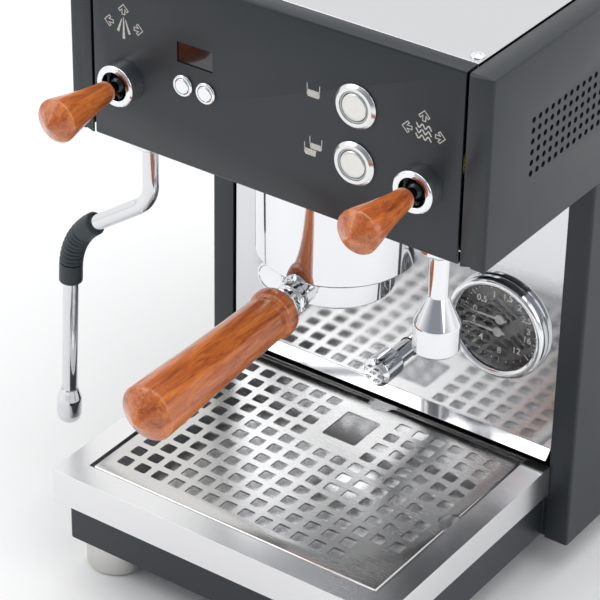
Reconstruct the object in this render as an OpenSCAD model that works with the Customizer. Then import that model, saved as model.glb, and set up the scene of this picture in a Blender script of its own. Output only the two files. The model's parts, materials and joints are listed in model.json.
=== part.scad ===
// Espresso machine with two boilers, joystick valves and a lever-locked portafilter.
// X runs to the machine's right, Y to its back and Z up. The origin lies on the counter,
// on the centre plane, straight below the face of the front panel.

/* [Body] */
// Width over the upper side panels
body_w = 286; // [270:1:345]
// Height from the counter to the cup tray
body_h = 404; // [390:1:485]
// Depth from the front panel to the back
body_d = 405; // [395:1:486]
// Height of the upper housing
head_h = 118; // [114:1:140]
// Depth of the upper housing that stands out over the drip tray
overhang = 130; // [126:1:156]
// Step from the upper side panels in to the lower ones
side_step = 5.4; // [4:0.1:8]
// Thickness of the painted sheet
sheet_t = 1.5; // [1:0.1:2]
// Width of the front flange of an upper side panel
flange_w = 15.5; // [12:0.5:20]
// Dark gap between the front panel and a side flange
shadow_gap = 2; // [1:0.5:3]
// Depth of the front panel's folded edges
fold_d = 11.5; // [9:0.5:13]
// Length of the cup tray from its front edge to the tank lid
cup_tray_l = 250; // [225:1:254]

/* [Feet and base] */
// Height of the feet
foot_h = 22; // [18:1:27]
// Diameter of a foot
foot_dia = 39; // [34:1:47]
// Half the distance between the left and right feet
foot_x = 98; // [90:1:98]
// Distance of the front feet in front of the front panel
foot_front = 23; // [20:1:25]
// Half width of the front base
base_hw = 118; // [112:1:120]
// Distance of the base's apron in front of the front panel
apron_y = 45.5; // [44:0.5:50]
// Height of the base's walls above the feet
base_wall_h = 31.8; // [26:0.1:33]

/* [Drip tray] */
// Width of the drip tray
tray_w = 245; // [243:1:252]
// Distance of the tray's front edge in front of the front panel
tray_front = 55; // [53:1:66]
// Height of the tray's top above the counter
tray_top_z = 76.8; // [74:0.1:92]
// Height of the tray's front skirt
tray_skirt_h = 23.4; // [20:0.1:24]
// Thickness of the stainless sheet
steel_t = 1.2; // [0.8:0.1:1.4]
// Width of the tray's rim beside the grid
tray_rim = 16; // [14:0.5:19]
// Depth of the tray's rim in front of the grid
tray_front_rim = 16.5; // [14:0.5:20]
// Gap round the grid
grid_gap = 1.5; // [1:0.1:2.5]
// Grid holes side by side
grid_cols = 15; // [10:1:15]
// Grid holes front to back
grid_rows = 11; // [8:1:12]
// Distance between the grid's holes
grid_pitch = 13.1; // [10:0.1:13.4]
// Distance of the first row of holes from the grid's front edge
grid_first = 16.2; // [14:0.1:19]
// Width of one grid hole
grid_hole = 8.6; // [5:0.1:9]

/* [Group and portafilter] */
// Distance of the group's axis behind the front panel
group_y = 70.7; // [68:0.1:76]
// Radius of the group's round cover
cover_r = 49.5; // [49:0.1:53]
// Length of the cover below the upper housing
cover_drop = 66.2; // [62:0.1:79]
// Radius of the portafilter's body
pf_r = 35; // [34:0.1:36]
// Inner radius of the filter basket
basket_r = 29.2; // [27:0.1:29.6]
// Length of the portafilter's wooden handle
pf_handle_l = 138; // [115:1:166]
// Largest radius of the portafilter's wooden handle
pf_handle_r = 17.6; // [15:0.1:19]
// Droop of the portafilter's handle in degrees
pf_droop = 2.4; // [0:0.1:5]

/* [Valve levers] */
// Half the distance between the two valve levers
lever_x = 102; // [97:1:104]
// Height of the levers above the upper housing's lower edge
lever_up = 42.5; // [38:0.5:51]
// Radius of a lever's chrome bezel
bezel_r = 12.9; // [12:0.1:15]
// How far a lever's bezel stands out
bezel_l = 12; // [11:0.5:12]
// Length of a lever's wooden handle
lever_l = 55; // [46:1:66]
// Largest radius of a lever's wooden handle
lever_r = 13.3; // [11:0.1:16]

/* [Buttons and display] */
// Radius of a brew button's bezel
brew_r = 13.5; // [12.5:0.1:16]
// Distance of the brew buttons from the centre plane
brew_x = 57; // [52:1:60]
// Distance between the two brew buttons
brew_pitch = 35.3; // [34:0.1:38]
// Radius of a set button's bezel
set_r = 6.7; // [6.2:0.1:7.6]
// Distance between the two set buttons
set_pitch = 16; // [15.5:0.1:18]
// Width of the display window
display_w = 25; // [22:1:30]
// Height of the display window
display_h = 13; // [11:0.5:15]
// Travel of a button
button_travel = 1.5; // [0.5:0.1:1.8]

/* [Wands and gauge] */
// Distance of the wands behind the front panel
wand_y = 21; // [20:0.5:25]
// Outer radius of the steam wand's tube
steam_tube_r = 5; // [4:0.1:5.5]
// Outer radius of the water wand's tube
water_tube_r = 5.8; // [5:0.1:6.2]
// Distance of the steam wand's foot from its swivel
steam_reach = 70; // [62:1:84]
// Length of the steam wand below its ball
steam_drop = 232; // [205:1:250]
// Length of the water wand below its ball
water_drop = 71; // [60:1:80]
// Radius of the water nozzle
nozzle_r = 13.7; // [12:0.1:16]
// Radius of the pressure gauge's bezel
gauge_r = 34.5; // [31:0.1:36]
// Distance of the gauge from the centre plane
gauge_x = 79; // [76:1:82]
// Height of the gauge above the drip tray
gauge_up = 86; // [70:1:103]

/* [Side perforations] */
// Distance of the first column of holes behind the front panel
perf_y0 = 43.7; // [30:0.1:50]
// Distance of the top row of holes below the cup tray
perf_down = 41.5; // [36:0.5:50]
// Radius of one hole
perf_r = 1.9; // [1:0.1:2.2]
// Distance between holes
perf_pitch = 6.6; // [5.5:0.1:7.9]
// Holes along the side
perf_cols = 22; // [4:1:26]
// Rows of holes
perf_rows = 6; // [2:1:6]

/* [Boilers and tank] */
// Radius of the steam boiler
steam_boiler_r = 48; // [40:1:49]
// Length of the steam boiler
steam_boiler_l = 116; // [90:1:118]
// Radius of the coffee boiler
coffee_boiler_r = 36; // [30:1:43]
// Length of the coffee boiler
coffee_boiler_l = 96; // [80:1:112]
// Length of the water tank from front to back
tank_l = 124; // [100:1:126]
// Wall of the water tank
tank_t = 2.5; // [2:0.1:3]

/* [Hidden] */
$fn = 48;
// clearances
gap = 0.4;
fit = 0.05;
seat = 0.3;
// outline of the body
hw = body_w / 2;
head_z = body_h - head_h;
low_hw = hw - side_step;
panel_hw = hw - flange_w - shadow_gap;
floor_z = head_z + sheet_t;
deck_z = floor_z + sheet_t;
in_hw = low_hw - sheet_t;
back_y = body_d - sheet_t;
col_flange_w = 16.1;
splash_y = overhang + sheet_t + seat;
splash_hw = low_hw - col_flange_w - 1;
hem_w = 9;
tray_slot = 11;
// cup tray and tank lid
top_y0 = fold_d + 0.5;
lid_y0 = top_y0 + cup_tray_l + 0.6;
lid_y1 = back_y - 1;
top_hw = panel_hw;
screw_in = 7;
// base
base_top = foot_h + base_wall_h;
foot_back_y = body_d - 50;
ledge_w = 18;
// drip tray
tray_y1 = overhang - 0.8;
tray_side_skirt = 21;
grid_hw = tray_w / 2 - tray_rim - grid_gap;
grid_y0 = -tray_front + tray_front_rim + grid_gap;
grid_y1 = tray_y1 - 2 - grid_gap;
grid_top = tray_top_z - 0.5;
grid_edge = 4;
tray_floor_z = base_top + seat;
notch_r = 9;
notch_row = 5;
// group
cover_z = head_z - cover_drop;
cover_t = 1.5;
gasket_z = cover_z + 9.2;
gasket_h = 8;
ring_z0 = cover_z + 1.8;
ring_z1 = cover_z + 20.2;
ring_r = cover_r - cover_t - 1;
pf_top = gasket_z - seat;
rim_t = 1;
ear_h = 4;
ear_r = pf_r + 4.2;
ear_z0 = pf_top - rim_t - ear_h;
pf_bottom = cover_z - 20.8;
pf_in_r = basket_r + 1.4;
neck_z = cover_z - 10.3;
neck_r = 8.2;
handle_y = 11.5;
// levers and buttons
lever_z = head_z + lever_up;
pivot_y = -5;
ball_r = 6.5;
yoke_in = ball_r + seat;
yoke_r = 9;
bore_r = 10.2;
pin_r = 1.2;
rod_r = 3.1;
rod_in = 12;
grip_y = -17;
tail_l = 13;
brew_z = head_z + 76;
set_z = head_z + 51.8;
set_x = -52.6;
display_z = head_z + 72;
cap_r = brew_r - 5.3;
ring_in = cap_r + seat;
ring_out = brew_r - 2.7;
set_cap_r = set_r - 2;
brew_cap_l = 8;
brew_barrel = brew_cap_l + button_travel + 0.5;
set_cap_l = 5;
set_barrel = set_cap_l + button_travel;
// wands
ball_z = head_z - 3;
wand_ball_r = 7.5;
seat_r = 9.2;
seat_h = 2.5;
nut_r = 12.5;
nut_l = 5.5;
nut_neck_r = 8.6;
nut_hole_r = 9.2;
wand_neck_r = 4;
shoulder = 9;
tube_wall = 1;
tip_r = 8;
tip_l = 26;
wand_route = [[0, 0], [0, 45], [steam_reach - 7, 89], [steam_reach, steam_drop]];
first_bend = 22;
grip_bend = 50;
grip_r = 7.6;
grip_tail = 11;
bend_swell = 0.03;
// gauge and drain
gauge_z = tray_top_z + gauge_up;
gauge_out = 7;
gauge_depth = 24;
dial_r = gauge_r - 6;
hub_up = 3.9;
needle_l = 0.7 * dial_r;
drain_x = 14.5;
drain_z = tray_top_z + 45.2;
drain_r = 9.7;
drain_l = 39.5;
// boilers, tank and rear
boiler_z = (deck_z + body_h - sheet_t) / 2;
boiler_y = overhang + 8;
steam_boiler_x = in_hw - steam_boiler_r - 16;
coffee_boiler_x = -in_hw + coffee_boiler_r + 22;
tank_hw = panel_hw - 21;
tank_y1 = back_y - 3;
tank_y0 = tank_y1 - tank_l;
tank_z = deck_z + gap;
tank_h = body_h - sheet_t - tank_z - 9;
inlet_x = -80;
inlet_z = foot_h + 60;
switch_x = -36;

// ---- shared shapes ----

// A block between two corners
module block(x0, x1, y0, y1, z0, z1) {
    translate([x0, y0, z0]) cube([x1 - x0, y1 - y0, z1 - z0]);
}

// A round bar along Z between two heights
module bar_z(r, z0, z1, x = 0, y = 0) {
    translate([x, y, z0]) cylinder(r = r, h = z1 - z0);
}

// A round bar along Y between two depths
module bar_y(r, y0, y1, x = 0, z = 0) {
    translate([x, y1, z]) rotate([90, 0, 0]) cylinder(r = r, h = y1 - y0);
}

// A round bar along X
module bar_x(r, x0, x1, y = 0, z = 0) {
    translate([x0, y, z]) rotate([0, 90, 0]) cylinder(r = r, h = x1 - x0);
}

// A piece and its mirror image across the centre plane
module both_sides() {
    children();
    mirror([1, 0, 0]) children();
}

// A solid turned about an axis that points to the front, from points [distance, radius]
module turned_front(points) {
    rotate([90, 0, 0]) rotate_extrude() polygon([for (p = points) [p[1], p[0]]]);
}

// ---- housing ----

module base_frame() {
    color("#26292c") difference() {
        union() {
            block(-base_hw, base_hw, -apron_y, overhang + sheet_t, foot_h, base_top);
            block(-in_hw + seat, in_hw - seat, overhang + sheet_t, back_y, foot_h, base_top);
        }
        block(-base_hw + sheet_t, base_hw - sheet_t, -apron_y + sheet_t, overhang + 3,
            foot_h + sheet_t, base_top - sheet_t);
        block(-base_hw + ledge_w, base_hw - ledge_w, -apron_y + ledge_w, overhang + 3,
            foot_h + sheet_t, base_top + 1);
        block(-in_hw + 2 * sheet_t, in_hw - 2 * sheet_t, overhang + 2 * sheet_t, back_y - sheet_t,
            foot_h + sheet_t, base_top + 1);
    }
}

module foot(x, y) {
    translate([x, y, 0]) rotate_extrude()
        polygon([[0, 0], [foot_dia / 2 - 1, 0], [foot_dia / 2, 1], [foot_dia / 2, foot_h - 2],
            [foot_dia / 2 - 2, foot_h], [0, foot_h]]);
}

module feet() {
    color("#c9cbcc") for (y = [-foot_front, foot_back_y]) both_sides() foot(foot_x, y);
}

// One lower side: a tall sheet with a front flange and a hem along the bottom
module lower_side() {
    block(in_hw, low_hw, overhang, back_y, foot_h, head_z - seat);
    block(low_hw - col_flange_w, in_hw, overhang, overhang + sheet_t, foot_h, head_z - seat);
}

module lower_side_left() {
    color("#2b2e31") mirror([1, 0, 0]) lower_side();
}

module lower_side_right() {
    color("#2b2e31") lower_side();
}

// The pattern of round holes, drawn flat with the housing's front edge at 0
module perforations() {
    for (i = [0 : perf_cols - 1])
        for (j = [0 : perf_rows - 1])
            translate([perf_y0 + i * perf_pitch, head_h - perf_down - j * perf_pitch])
                circle(r = perf_r, $fn = 24);
}

// One upper side: a perforated sheet with flanges at the front, the top and the bottom
module upper_side() {
    translate([hw - sheet_t, 0, head_z]) rotate([90, 0, 90]) linear_extrude(sheet_t)
        difference() {
            square([back_y, head_h]);
            perforations();
        }
    block(hw - flange_w, hw - sheet_t, 0, sheet_t, head_z, body_h);
    block(hw - flange_w, hw - sheet_t, sheet_t, back_y, body_h - sheet_t, body_h);
    block(hw - hem_w, hw - sheet_t, sheet_t, back_y, head_z, floor_z);
}

module upper_side_left() {
    color("#2b2e31") mirror([1, 0, 0]) upper_side();
}

module upper_side_right() {
    color("#2b2e31") upper_side();
}

module front_panel() {
    color("#202325") difference() {
        union() {
            block(-panel_hw, panel_hw, 0, sheet_t, head_z, body_h);
            block(-panel_hw, panel_hw, sheet_t, fold_d, body_h - sheet_t, body_h);
            block(-panel_hw, panel_hw, sheet_t, fold_d, head_z, floor_z);
        }
        both_sides() bar_z(nut_r + gap, head_z - 1, floor_z + 1, lever_x, wand_y);
        both_sides() bar_y(bore_r, -1, sheet_t + 1, lever_x, lever_z);
        for (z = [brew_z, brew_z - brew_pitch]) bar_y(ring_out, -1, sheet_t + 1, brew_x, z);
        for (x = [-0.5, 0.5]) bar_y(set_r - 0.8, -1, sheet_t + 1, set_x + x * set_pitch, set_z);
        block(set_x - display_w / 2, set_x + display_w / 2, -1, sheet_t + 1,
            display_z - display_h / 2, display_z + display_h / 2);
    }
}

// Chassis plate that closes the upper housing from below and carries the boilers
module head_floor() {
    color("#33373a") difference() {
        block(-hw + sheet_t + seat, hw - sheet_t - seat, fold_d + 0.5, back_y - seat, floor_z, deck_z);
        bar_z(cover_r - 8, floor_z - 1, deck_z + 1, 0, group_y);
        both_sides() bar_z(nut_hole_r, floor_z - 1, deck_z + 1, lever_x, wand_y);
        for (x = [-60, 60]) bar_z(5, floor_z - 1, deck_z + 1, x, overhang + 22);
    }
}

// Mirror-polished splash sheet with a lip bent forward over the drip tray
module backsplash() {
    lip_l = 6;
    lip_z = tray_top_z + tray_slot;
    color("#d9dcdd") difference() {
        union() {
            block(-splash_hw, splash_hw, splash_y, splash_y + steel_t, lip_z, head_z - seat);
            translate([-splash_hw, 0, 0]) rotate([90, 0, 90]) linear_extrude(2 * splash_hw)
                polygon([[splash_y, lip_z], [splash_y + steel_t, lip_z],
                    [splash_y + steel_t - lip_l, lip_z - lip_l], [splash_y - lip_l, lip_z - lip_l]]);
        }
        bar_y(gauge_r - 4, splash_y - 1, splash_y + steel_t + 1, gauge_x, gauge_z);
        bar_y(6 + gap, splash_y - 1, splash_y + steel_t + 1, drain_x, drain_z);
    }
}

module rear_panel() {
    vents = 12;
    color("#2b2e31") difference() {
        union() {
            block(-hw, hw, back_y, body_d, head_z, body_h);
            block(-low_hw, low_hw, back_y, body_d, foot_h, head_z);
        }
        for (i = [0 : vents - 1])
            block(-55 + i * 10, -51 + i * 10, back_y - 1, body_d + 1, foot_h + 150, foot_h + 200);
        block(inlet_x - 14, inlet_x + 14, back_y - 1, body_d + 1, inlet_z - 10, inlet_z + 10);
        block(switch_x - 11, switch_x + 11, back_y - 1, body_d + 1, inlet_z - 7, inlet_z + 7);
    }
}

module cup_tray() {
    color("#cfd2d3") union() {
        block(-top_hw, top_hw, top_y0, top_y0 + cup_tray_l, body_h - steel_t, body_h);
        for (y = [top_y0, top_y0 + cup_tray_l - steel_t])
            block(-top_hw, top_hw, y, y + steel_t, body_h - hem_w, body_h - steel_t);
        both_sides()
            block(top_hw - steel_t, top_hw, top_y0, top_y0 + cup_tray_l, body_h - hem_w, body_h - steel_t);
    }
}

module cup_tray_screws() {
    color("#e4e6e7") for (y = [top_y0 + screw_in, top_y0 + cup_tray_l - screw_in])
        both_sides() translate([top_hw - screw_in + 2, y, body_h]) rotate_extrude()
            polygon([[0, 0], [4.2, 0], [4, 0.7], [3, 1.4], [1.5, 1.8], [0, 1.9]]);
}

// ---- display and buttons ----

module display_window() {
    lip = 1.5;
    color("#2a1512") union() {
        block(set_x - display_w / 2 + gap, set_x + display_w / 2 - gap, 0.8, sheet_t,
            display_z - display_h / 2 + gap, display_z + display_h / 2 - gap);
        block(set_x - display_w / 2 - lip, set_x + display_w / 2 + lip, sheet_t, sheet_t + 1.5,
            display_z - display_h / 2 - lip, display_z + display_h / 2 + lip);
    }
}

// A bevelled bezel with a barrel that runs through the panel
module brew_bezel(z) {
    translate([brew_x, 0, z])
        turned_front([[-brew_barrel, ring_out - seat / 2], [-brew_barrel, ring_out - 1.2],
            [2.6, ring_out - 1.2], [2.6, brew_r - 1.6], [1, brew_r], [0, brew_r],
            [0, ring_out - seat / 2]]);
}

module set_bezel(x) {
    translate([x, 0, set_z])
        turned_front([[-set_barrel, set_r - 0.9], [-set_barrel, set_cap_r + seat],
            [1.8, set_cap_r + seat], [1.8, set_r - 0.5], [1.2, set_r], [0, set_r], [0, set_r - 0.9]]);
}

module button_bezels() {
    color("#dfe1e2") union() {
        for (z = [brew_z, brew_z - brew_pitch]) brew_bezel(z);
        for (x = [-0.5, 0.5]) set_bezel(set_x + x * set_pitch);
    }
}

// Clear ring between the bezel and the cap, lit from behind
module light_rings() {
    color("#c8cfd2") for (z = [brew_z, brew_z - brew_pitch])
        translate([brew_x, 0, z])
            turned_front([[1 - brew_barrel, ring_out - 1.2], [1 - brew_barrel, ring_in], [2.2, ring_in],
                [2.2, ring_out - 1.2]]);
}

module brew_cap(z) {
    translate([brew_x, 0, z])
        turned_front([[-brew_cap_l, 0], [-brew_cap_l, cap_r], [2.2, cap_r], [2.6, cap_r - 0.5], [2.6, 0]]);
}

module brew_button_one() {
    color("#e3e5e6") brew_cap(brew_z);
}

module brew_button_two() {
    color("#e3e5e6") brew_cap(brew_z - brew_pitch);
}

module set_cap(x) {
    translate([x, 0, set_z])
        turned_front([[-set_cap_l, 0], [-set_cap_l, set_cap_r], [1.8, set_cap_r], [2.2, set_cap_r - 0.5],
            [2.2, 0]]);
}

module set_button_left() {
    color("#e3e5e6") set_cap(set_x - set_pitch / 2);
}

module set_button_right() {
    color("#e3e5e6") set_cap(set_x + set_pitch / 2);
}

// ---- valve levers ----

module lever_bezels() {
    color("#d9dcde") both_sides() translate([lever_x, 0, lever_z]) difference() {
        turned_front([[-6, bore_r - seat], [-6, bore_r - 1], [0, bore_r - 1], [0, bore_r],
            [bezel_l, bore_r], [bezel_l, bezel_r - 1.2], [bezel_l - 1.2, bezel_r], [0, bezel_r],
            [0, bore_r - seat]]);
        translate([0, pivot_y, -bezel_r - 1]) cylinder(r = pin_r + fit, h = 2 * bezel_r + 2);
    }
}

// The yoke swings about Z in the bezel and carries the ball's level pin
module lever_yoke(x) {
    translate([x, pivot_y, lever_z]) difference() {
        union() {
            translate([0, 2, 0]) rotate([90, 0, 0]) cylinder(r = yoke_r, h = 4);
            translate([0, 0, -bezel_r + 1]) cylinder(r = pin_r, h = 2 * bezel_r - 2);
        }
        translate([0, 5, 0]) rotate([90, 0, 0]) cylinder(r = yoke_in, h = 10);
        translate([-yoke_r - 1, 0, 0]) rotate([0, 90, 0]) cylinder(r = pin_r + fit, h = 2 * yoke_r + 2);
    }
}

// The rod with its ball, its level pin and the tail that opens the valve
module lever_rod(x) {
    translate([x, pivot_y, lever_z]) union() {
        rotate([0, 0, 45]) sphere(r = ball_r);
        translate([-yoke_r + 0.6, 0, 0]) rotate([0, 90, 0]) cylinder(r = pin_r, h = 2 * yoke_r - 1.2);
        translate([0, tail_l, 0]) rotate([90, 0, 0]) cylinder(r = 2, h = tail_l);
        rotate([90, 0, 0]) cylinder(r = rod_r, h = pivot_y - grip_y + rod_in);
    }
}

// Turned wooden handle: narrow at the rod, widest near its end, then a shallow cone
module lever_handle(x) {
    flare = lever_l - 9;
    translate([x, grip_y, lever_z]) difference() {
        turned_front([[0, 0], [0, 5.4], [0.8, 6.2], [0.35 * flare, 7.9], [0.65 * flare, 10.2],
            [0.85 * flare, 12.2], [0.96 * flare, lever_r - 0.2], [flare, lever_r],
            [flare + 1.2, lever_r - 0.9], [lever_l - 1, 1.5], [lever_l, 0]]);
        turned_front([[-1, 0], [-1, rod_r], [rod_in + 0.1, rod_r], [rod_in + 0.1, 0]]);
    }
}

module steam_lever_yoke() {
    color("#9a9da0") lever_yoke(-lever_x);
}

module steam_lever_rod() {
    color("#1c1d1f") lever_rod(-lever_x);
}

module steam_lever_handle() {
    color("#a5552b") lever_handle(-lever_x);
}

module water_lever_yoke() {
    color("#9a9da0") lever_yoke(lever_x);
}

module water_lever_rod() {
    color("#1c1d1f") lever_rod(lever_x);
}

module water_lever_handle() {
    color("#a5552b") lever_handle(lever_x);
}

// Brass valves behind the levers, open at the front for the lever's tail
module valve_bodies() {
    length = 44;
    color("#b9923f") both_sides() difference() {
        union() {
            translate([lever_x, 7, lever_z]) rotate([-90, 0, 0]) cylinder(r = 15, h = length);
            bar_z(9, deck_z + 3, lever_z, lever_x, wand_y);
        }
        translate([lever_x, 6, lever_z]) rotate([-90, 0, 0]) cylinder(r = 11, h = 12);
    }
}

// ---- wands ----

// Nut under the head floor. The cavity takes the swivel's seat ring, or the ball itself.
module wand_nut(cavity_r) {
    mouth_r = wand_ball_r - 0.7;
    difference() {
        union() {
            bar_z(nut_r, ball_z - nut_l, floor_z);
            bar_z(nut_neck_r, floor_z, deck_z);
        }
        if (cavity_r > wand_ball_r + 1)
            bar_z(cavity_r, ball_z - seat_h - fit, ball_z + seat_h + fit);
        translate([0, 0, ball_z]) sphere(r = wand_ball_r + 2 * fit);
        translate([0, 0, ball_z - nut_l - 1]) cylinder(r1 = mouth_r, r2 = mouth_r - 1, h = 3.6);
    }
}

module wand_nuts() {
    color("#d9dcde") union() {
        translate([-lever_x, wand_y, 0]) wand_nut(seat_r + fit);
        translate([lever_x, wand_y, 0]) wand_nut(0);
    }
}

// Ring that turns about Z in the nut while the steam wand's ball tilts in it
module steam_wand_seat() {
    color("#e9e6df") translate([-lever_x, wand_y, 0]) difference() {
        bar_z(seat_r, ball_z - seat_h, ball_z + seat_h);
        translate([0, 0, ball_z]) sphere(r = wand_ball_r + fit);
    }
}

function unit(v) = v / norm(v);
function heading(a, b) = atan2(b[1] - a[1], b[0] - a[0]);
function side_of(a, b, c) = sign((b - a)[0] * (c - b)[1] - (b - a)[1] * (c - b)[0]);
function turn_of(a, b, c) = acos(unit(b - a) * unit(c - b));
function cut_of(a, b, c, radius) = radius * tan(turn_of(a, b, c) / 2);

// A straight round leg in the XY plane from a to b
module leg(a, b, r) {
    translate([a[0], a[1], 0]) rotate([0, 0, heading(a, b)]) rotate([0, 90, 0])
        cylinder(r = r, h = norm(b - a));
}

// A round bend in the XY plane at corner b of a route a, b, c
module bend(a, b, c, radius, r) {
    turn = turn_of(a, b, c);
    side = side_of(a, b, c);
    start = b - unit(b - a) * cut_of(a, b, c, radius);
    out = heading(a, b) - side * 90;
    centre = start - radius * [cos(out), sin(out)];
    translate([centre[0], centre[1], 0]) rotate([0, 0, side < 0 ? out - turn : out])
        rotate_extrude(angle = turn) translate([radius, 0]) circle(r = r);
}

// The steam wand's route at one radius. The bends are a hair fatter than the legs that meet them.
module wand_sweep(r, start, end_before) {
    p = wand_route;
    down = unit(p[3] - p[2]);
    slant = unit(p[2] - p[1]);
    cut1 = cut_of(p[0], p[1], p[2], first_bend);
    cut2 = cut_of(p[1], p[2], p[3], grip_bend);
    leg([0, start], p[1] - [0, cut1], r);
    bend(p[0], p[1], p[2], first_bend, r + bend_swell);
    leg(p[1] + slant * cut1, p[2] - slant * cut2, r);
    bend(p[1], p[2], p[3], grip_bend, r + bend_swell);
    leg(p[2] + down * cut2, p[3] - down * end_before, r);
}

// Places a wand drawn in the XY plane so that its Y runs down and its X runs outwards
module hang_wand() {
    translate([-lever_x, wand_y, ball_z]) rotate([-90, 0, 180]) children();
}

module steam_wand_tube() {
    color("#c9cccf") difference() {
        union() {
            hang_wand() wand_sweep(steam_tube_r, shoulder, tip_l - 8);
            translate([-lever_x, wand_y, ball_z]) {
                sphere(r = wand_ball_r);
                bar_z(wand_neck_r, -shoulder, 0);
            }
        }
        hang_wand() wand_sweep(steam_tube_r - tube_wall, shoulder + 3, tip_l - 9);
    }
}

// Rubber sleeve over the wand's lower bend
module steam_wand_grip() {
    p = wand_route;
    down = unit(p[3] - p[2]);
    from = p[2] + down * cut_of(p[1], p[2], p[3], grip_bend);
    color("#23282d") hang_wand() difference() {
        union() {
            bend(p[1], p[2], p[3], grip_bend, grip_r + bend_swell);
            leg(from, from + down * grip_tail, grip_r);
        }
        bend(p[1], p[2], p[3], grip_bend, steam_tube_r + 2 * bend_swell);
        leg(from, from + down * (grip_tail + 1), steam_tube_r + bend_swell);
    }
}

module steam_wand_tip() {
    p = wand_route;
    top = p[3] - unit(p[3] - p[2]) * tip_l;
    color("#dcdfe1") hang_wand() translate([top[0], top[1], 0]) rotate([0, 0, heading(p[2], p[3])])
        rotate([0, 90, 0]) rotate_extrude()
            polygon([[steam_tube_r, 0], [steam_tube_r + 0.8, 0], [tip_r, 7], [tip_r, tip_l - 6],
                [tip_r - 1.4, tip_l - 2.4], [tip_r - 4, tip_l - 0.4], [0, tip_l], [0, 9.5],
                [steam_tube_r, 9.5]]);
}

// Hot water wand: ball, tube, cone and a wide nozzle in one turned piece
module water_wand() {
    bottom = -water_drop;
    tube_end = bottom + 36;
    wide = bottom + 18;
    color("#dcdfe1") translate([lever_x, wand_y, ball_z]) difference() {
        union() {
            sphere(r = wand_ball_r);
            bar_z(wand_neck_r, -shoulder, 0);
            rotate_extrude() polygon([[0, bottom], [nozzle_r - 1.5, bottom], [nozzle_r, bottom + 1.5],
                [nozzle_r, wide], [water_tube_r, tube_end], [water_tube_r, -shoulder], [0, -shoulder]]);
        }
        bar_z(nozzle_r - 3.5, bottom - 1, bottom + 7);
        bar_z(2.5, bottom, -shoulder);
    }
}

// ---- pressure gauge and drain ----

module gauge_case() {
    lip_r = gauge_r - 6.1;
    well_r = gauge_r - 4.9;
    color("#e1e3e4") translate([gauge_x, splash_y, gauge_z])
        turned_front([[-gauge_depth, 0], [-gauge_depth, well_r + 0.6], [0, well_r + 0.6], [0, gauge_r],
            [4, gauge_r], [gauge_out, gauge_r - 2], [gauge_out, lip_r], [gauge_out - 1.4, lip_r],
            [gauge_out - 1.4, well_r], [-2.5, well_r], [-2.5, 0]]);
}

module gauge_dial() {
    color("#17191b") translate([gauge_x, splash_y, gauge_z]) union() {
        turned_front([[-2.5, 0], [-2.5, gauge_r - 5.1], [-1.5, gauge_r - 5.1], [-1.5, 0]]);
        bar_y(0.6, -1.4, 1.5, 0, hub_up);
        bar_y(0.6, -3, 1.5, 0, -hub_up);
    }
}

module gauge_glass() {
    color([0.9, 0.95, 1, 0.3]) translate([gauge_x, splash_y, gauge_z])
        turned_front([[4.2, 0], [4.2, gauge_r - 5.1], [gauge_out - 1.4, gauge_r - 5.1],
            [gauge_out - 1.4, 0]]);
}

// A needle that points to the left from its hub, d in front of the splash sheet
module needle(z, d) {
    color("#eceeee") translate([gauge_x, splash_y - d, gauge_z + z]) difference() {
        union() {
            bar_y(2, -0.9, 0);
            rotate([90, 0, 0]) linear_extrude(0.6)
                polygon([[0, 0.9], [-needle_l, 0.35], [-needle_l, -0.35], [0, -0.9], [4.6, -0.7],
                    [4.6, 0.7]]);
        }
        bar_y(0.6 + fit, -2, 1);
    }
}

module needle_boiler() {
    needle(hub_up, 0);
}

module needle_pump() {
    needle(-hub_up, 1.6);
}

// Chrome outlet that stands out of the splash sheet and pours down from its front end
module drain_nozzle() {
    outlet_r = 3.4;
    outlet_in = 8;
    color("#dfe2e3") difference() {
        translate([drain_x, splash_y, drain_z])
            turned_front([[-12, 0], [-12, 6], [19, 6], [19, drain_r - 1], [20, drain_r],
                [drain_l - 2, drain_r], [drain_l, drain_r - 2], [drain_l, 0]]);
        bar_z(outlet_r, drain_z - drain_r - 1, drain_z, drain_x, splash_y - drain_l + outlet_in);
    }
}

// ---- group ----

module group_cover() {
    color("#dfe2e4") translate([0, group_y, 0]) rotate_extrude($fn = 96)
        polygon([[cover_r, cover_z], [cover_r, head_z - seat], [cover_r - cover_t, head_z - seat],
            [cover_r - cover_t, cover_z + cover_t], [ring_r - 3, cover_z + cover_t],
            [ring_r - 3, cover_z]]);
}

// Brass group body: dispersion block, flange and a neck up through the head floor
module group_head() {
    throat = cover_r - 9;
    color("#b08a3c") translate([0, group_y, 0]) rotate_extrude()
        polygon([[0, gasket_z + 2], [basket_r - 0.5, gasket_z + 2], [basket_r - 0.5, gasket_z + gasket_h],
            [pf_r, gasket_z + gasket_h], [pf_r, ring_z1], [ring_r, ring_z1], [ring_r, ring_z1 + 9],
            [throat, ring_z1 + 9], [throat, deck_z + 12], [throat - 10, deck_z + 24],
            [0, deck_z + 24]]);
}

// Ring with a groove for the portafilter's two ears and two gates where they enter
module bayonet_ring() {
    ear_half = 14;
    gate_half = ear_half + 3;
    unlock = -45;
    groove = 0.35;
    color("#a9acae") translate([0, group_y, 0]) difference() {
        bar_z(ring_r, ring_z0, ring_z1);
        bar_z(pf_r + 0.6, ring_z0 - 1, ring_z1 + 1);
        bar_z(ear_r + gap, ear_z0 - groove, ear_z0 + ear_h + groove);
        for (side = [0, 180]) rotate([0, 0, unlock + side - gate_half])
            rotate_extrude(angle = 2 * gate_half) translate([pf_r, ring_z0 - 1])
                square([ear_r + gap - pf_r, ear_z0 - ring_z0 + 2]);
    }
}

module group_gasket() {
    color("#1d1d1f") translate([0, group_y, 0]) difference() {
        bar_z(pf_r + 0.2, gasket_z, gasket_z + gasket_h);
        bar_z(basket_r, gasket_z - 1, gasket_z + gasket_h + 1);
    }
}

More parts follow.
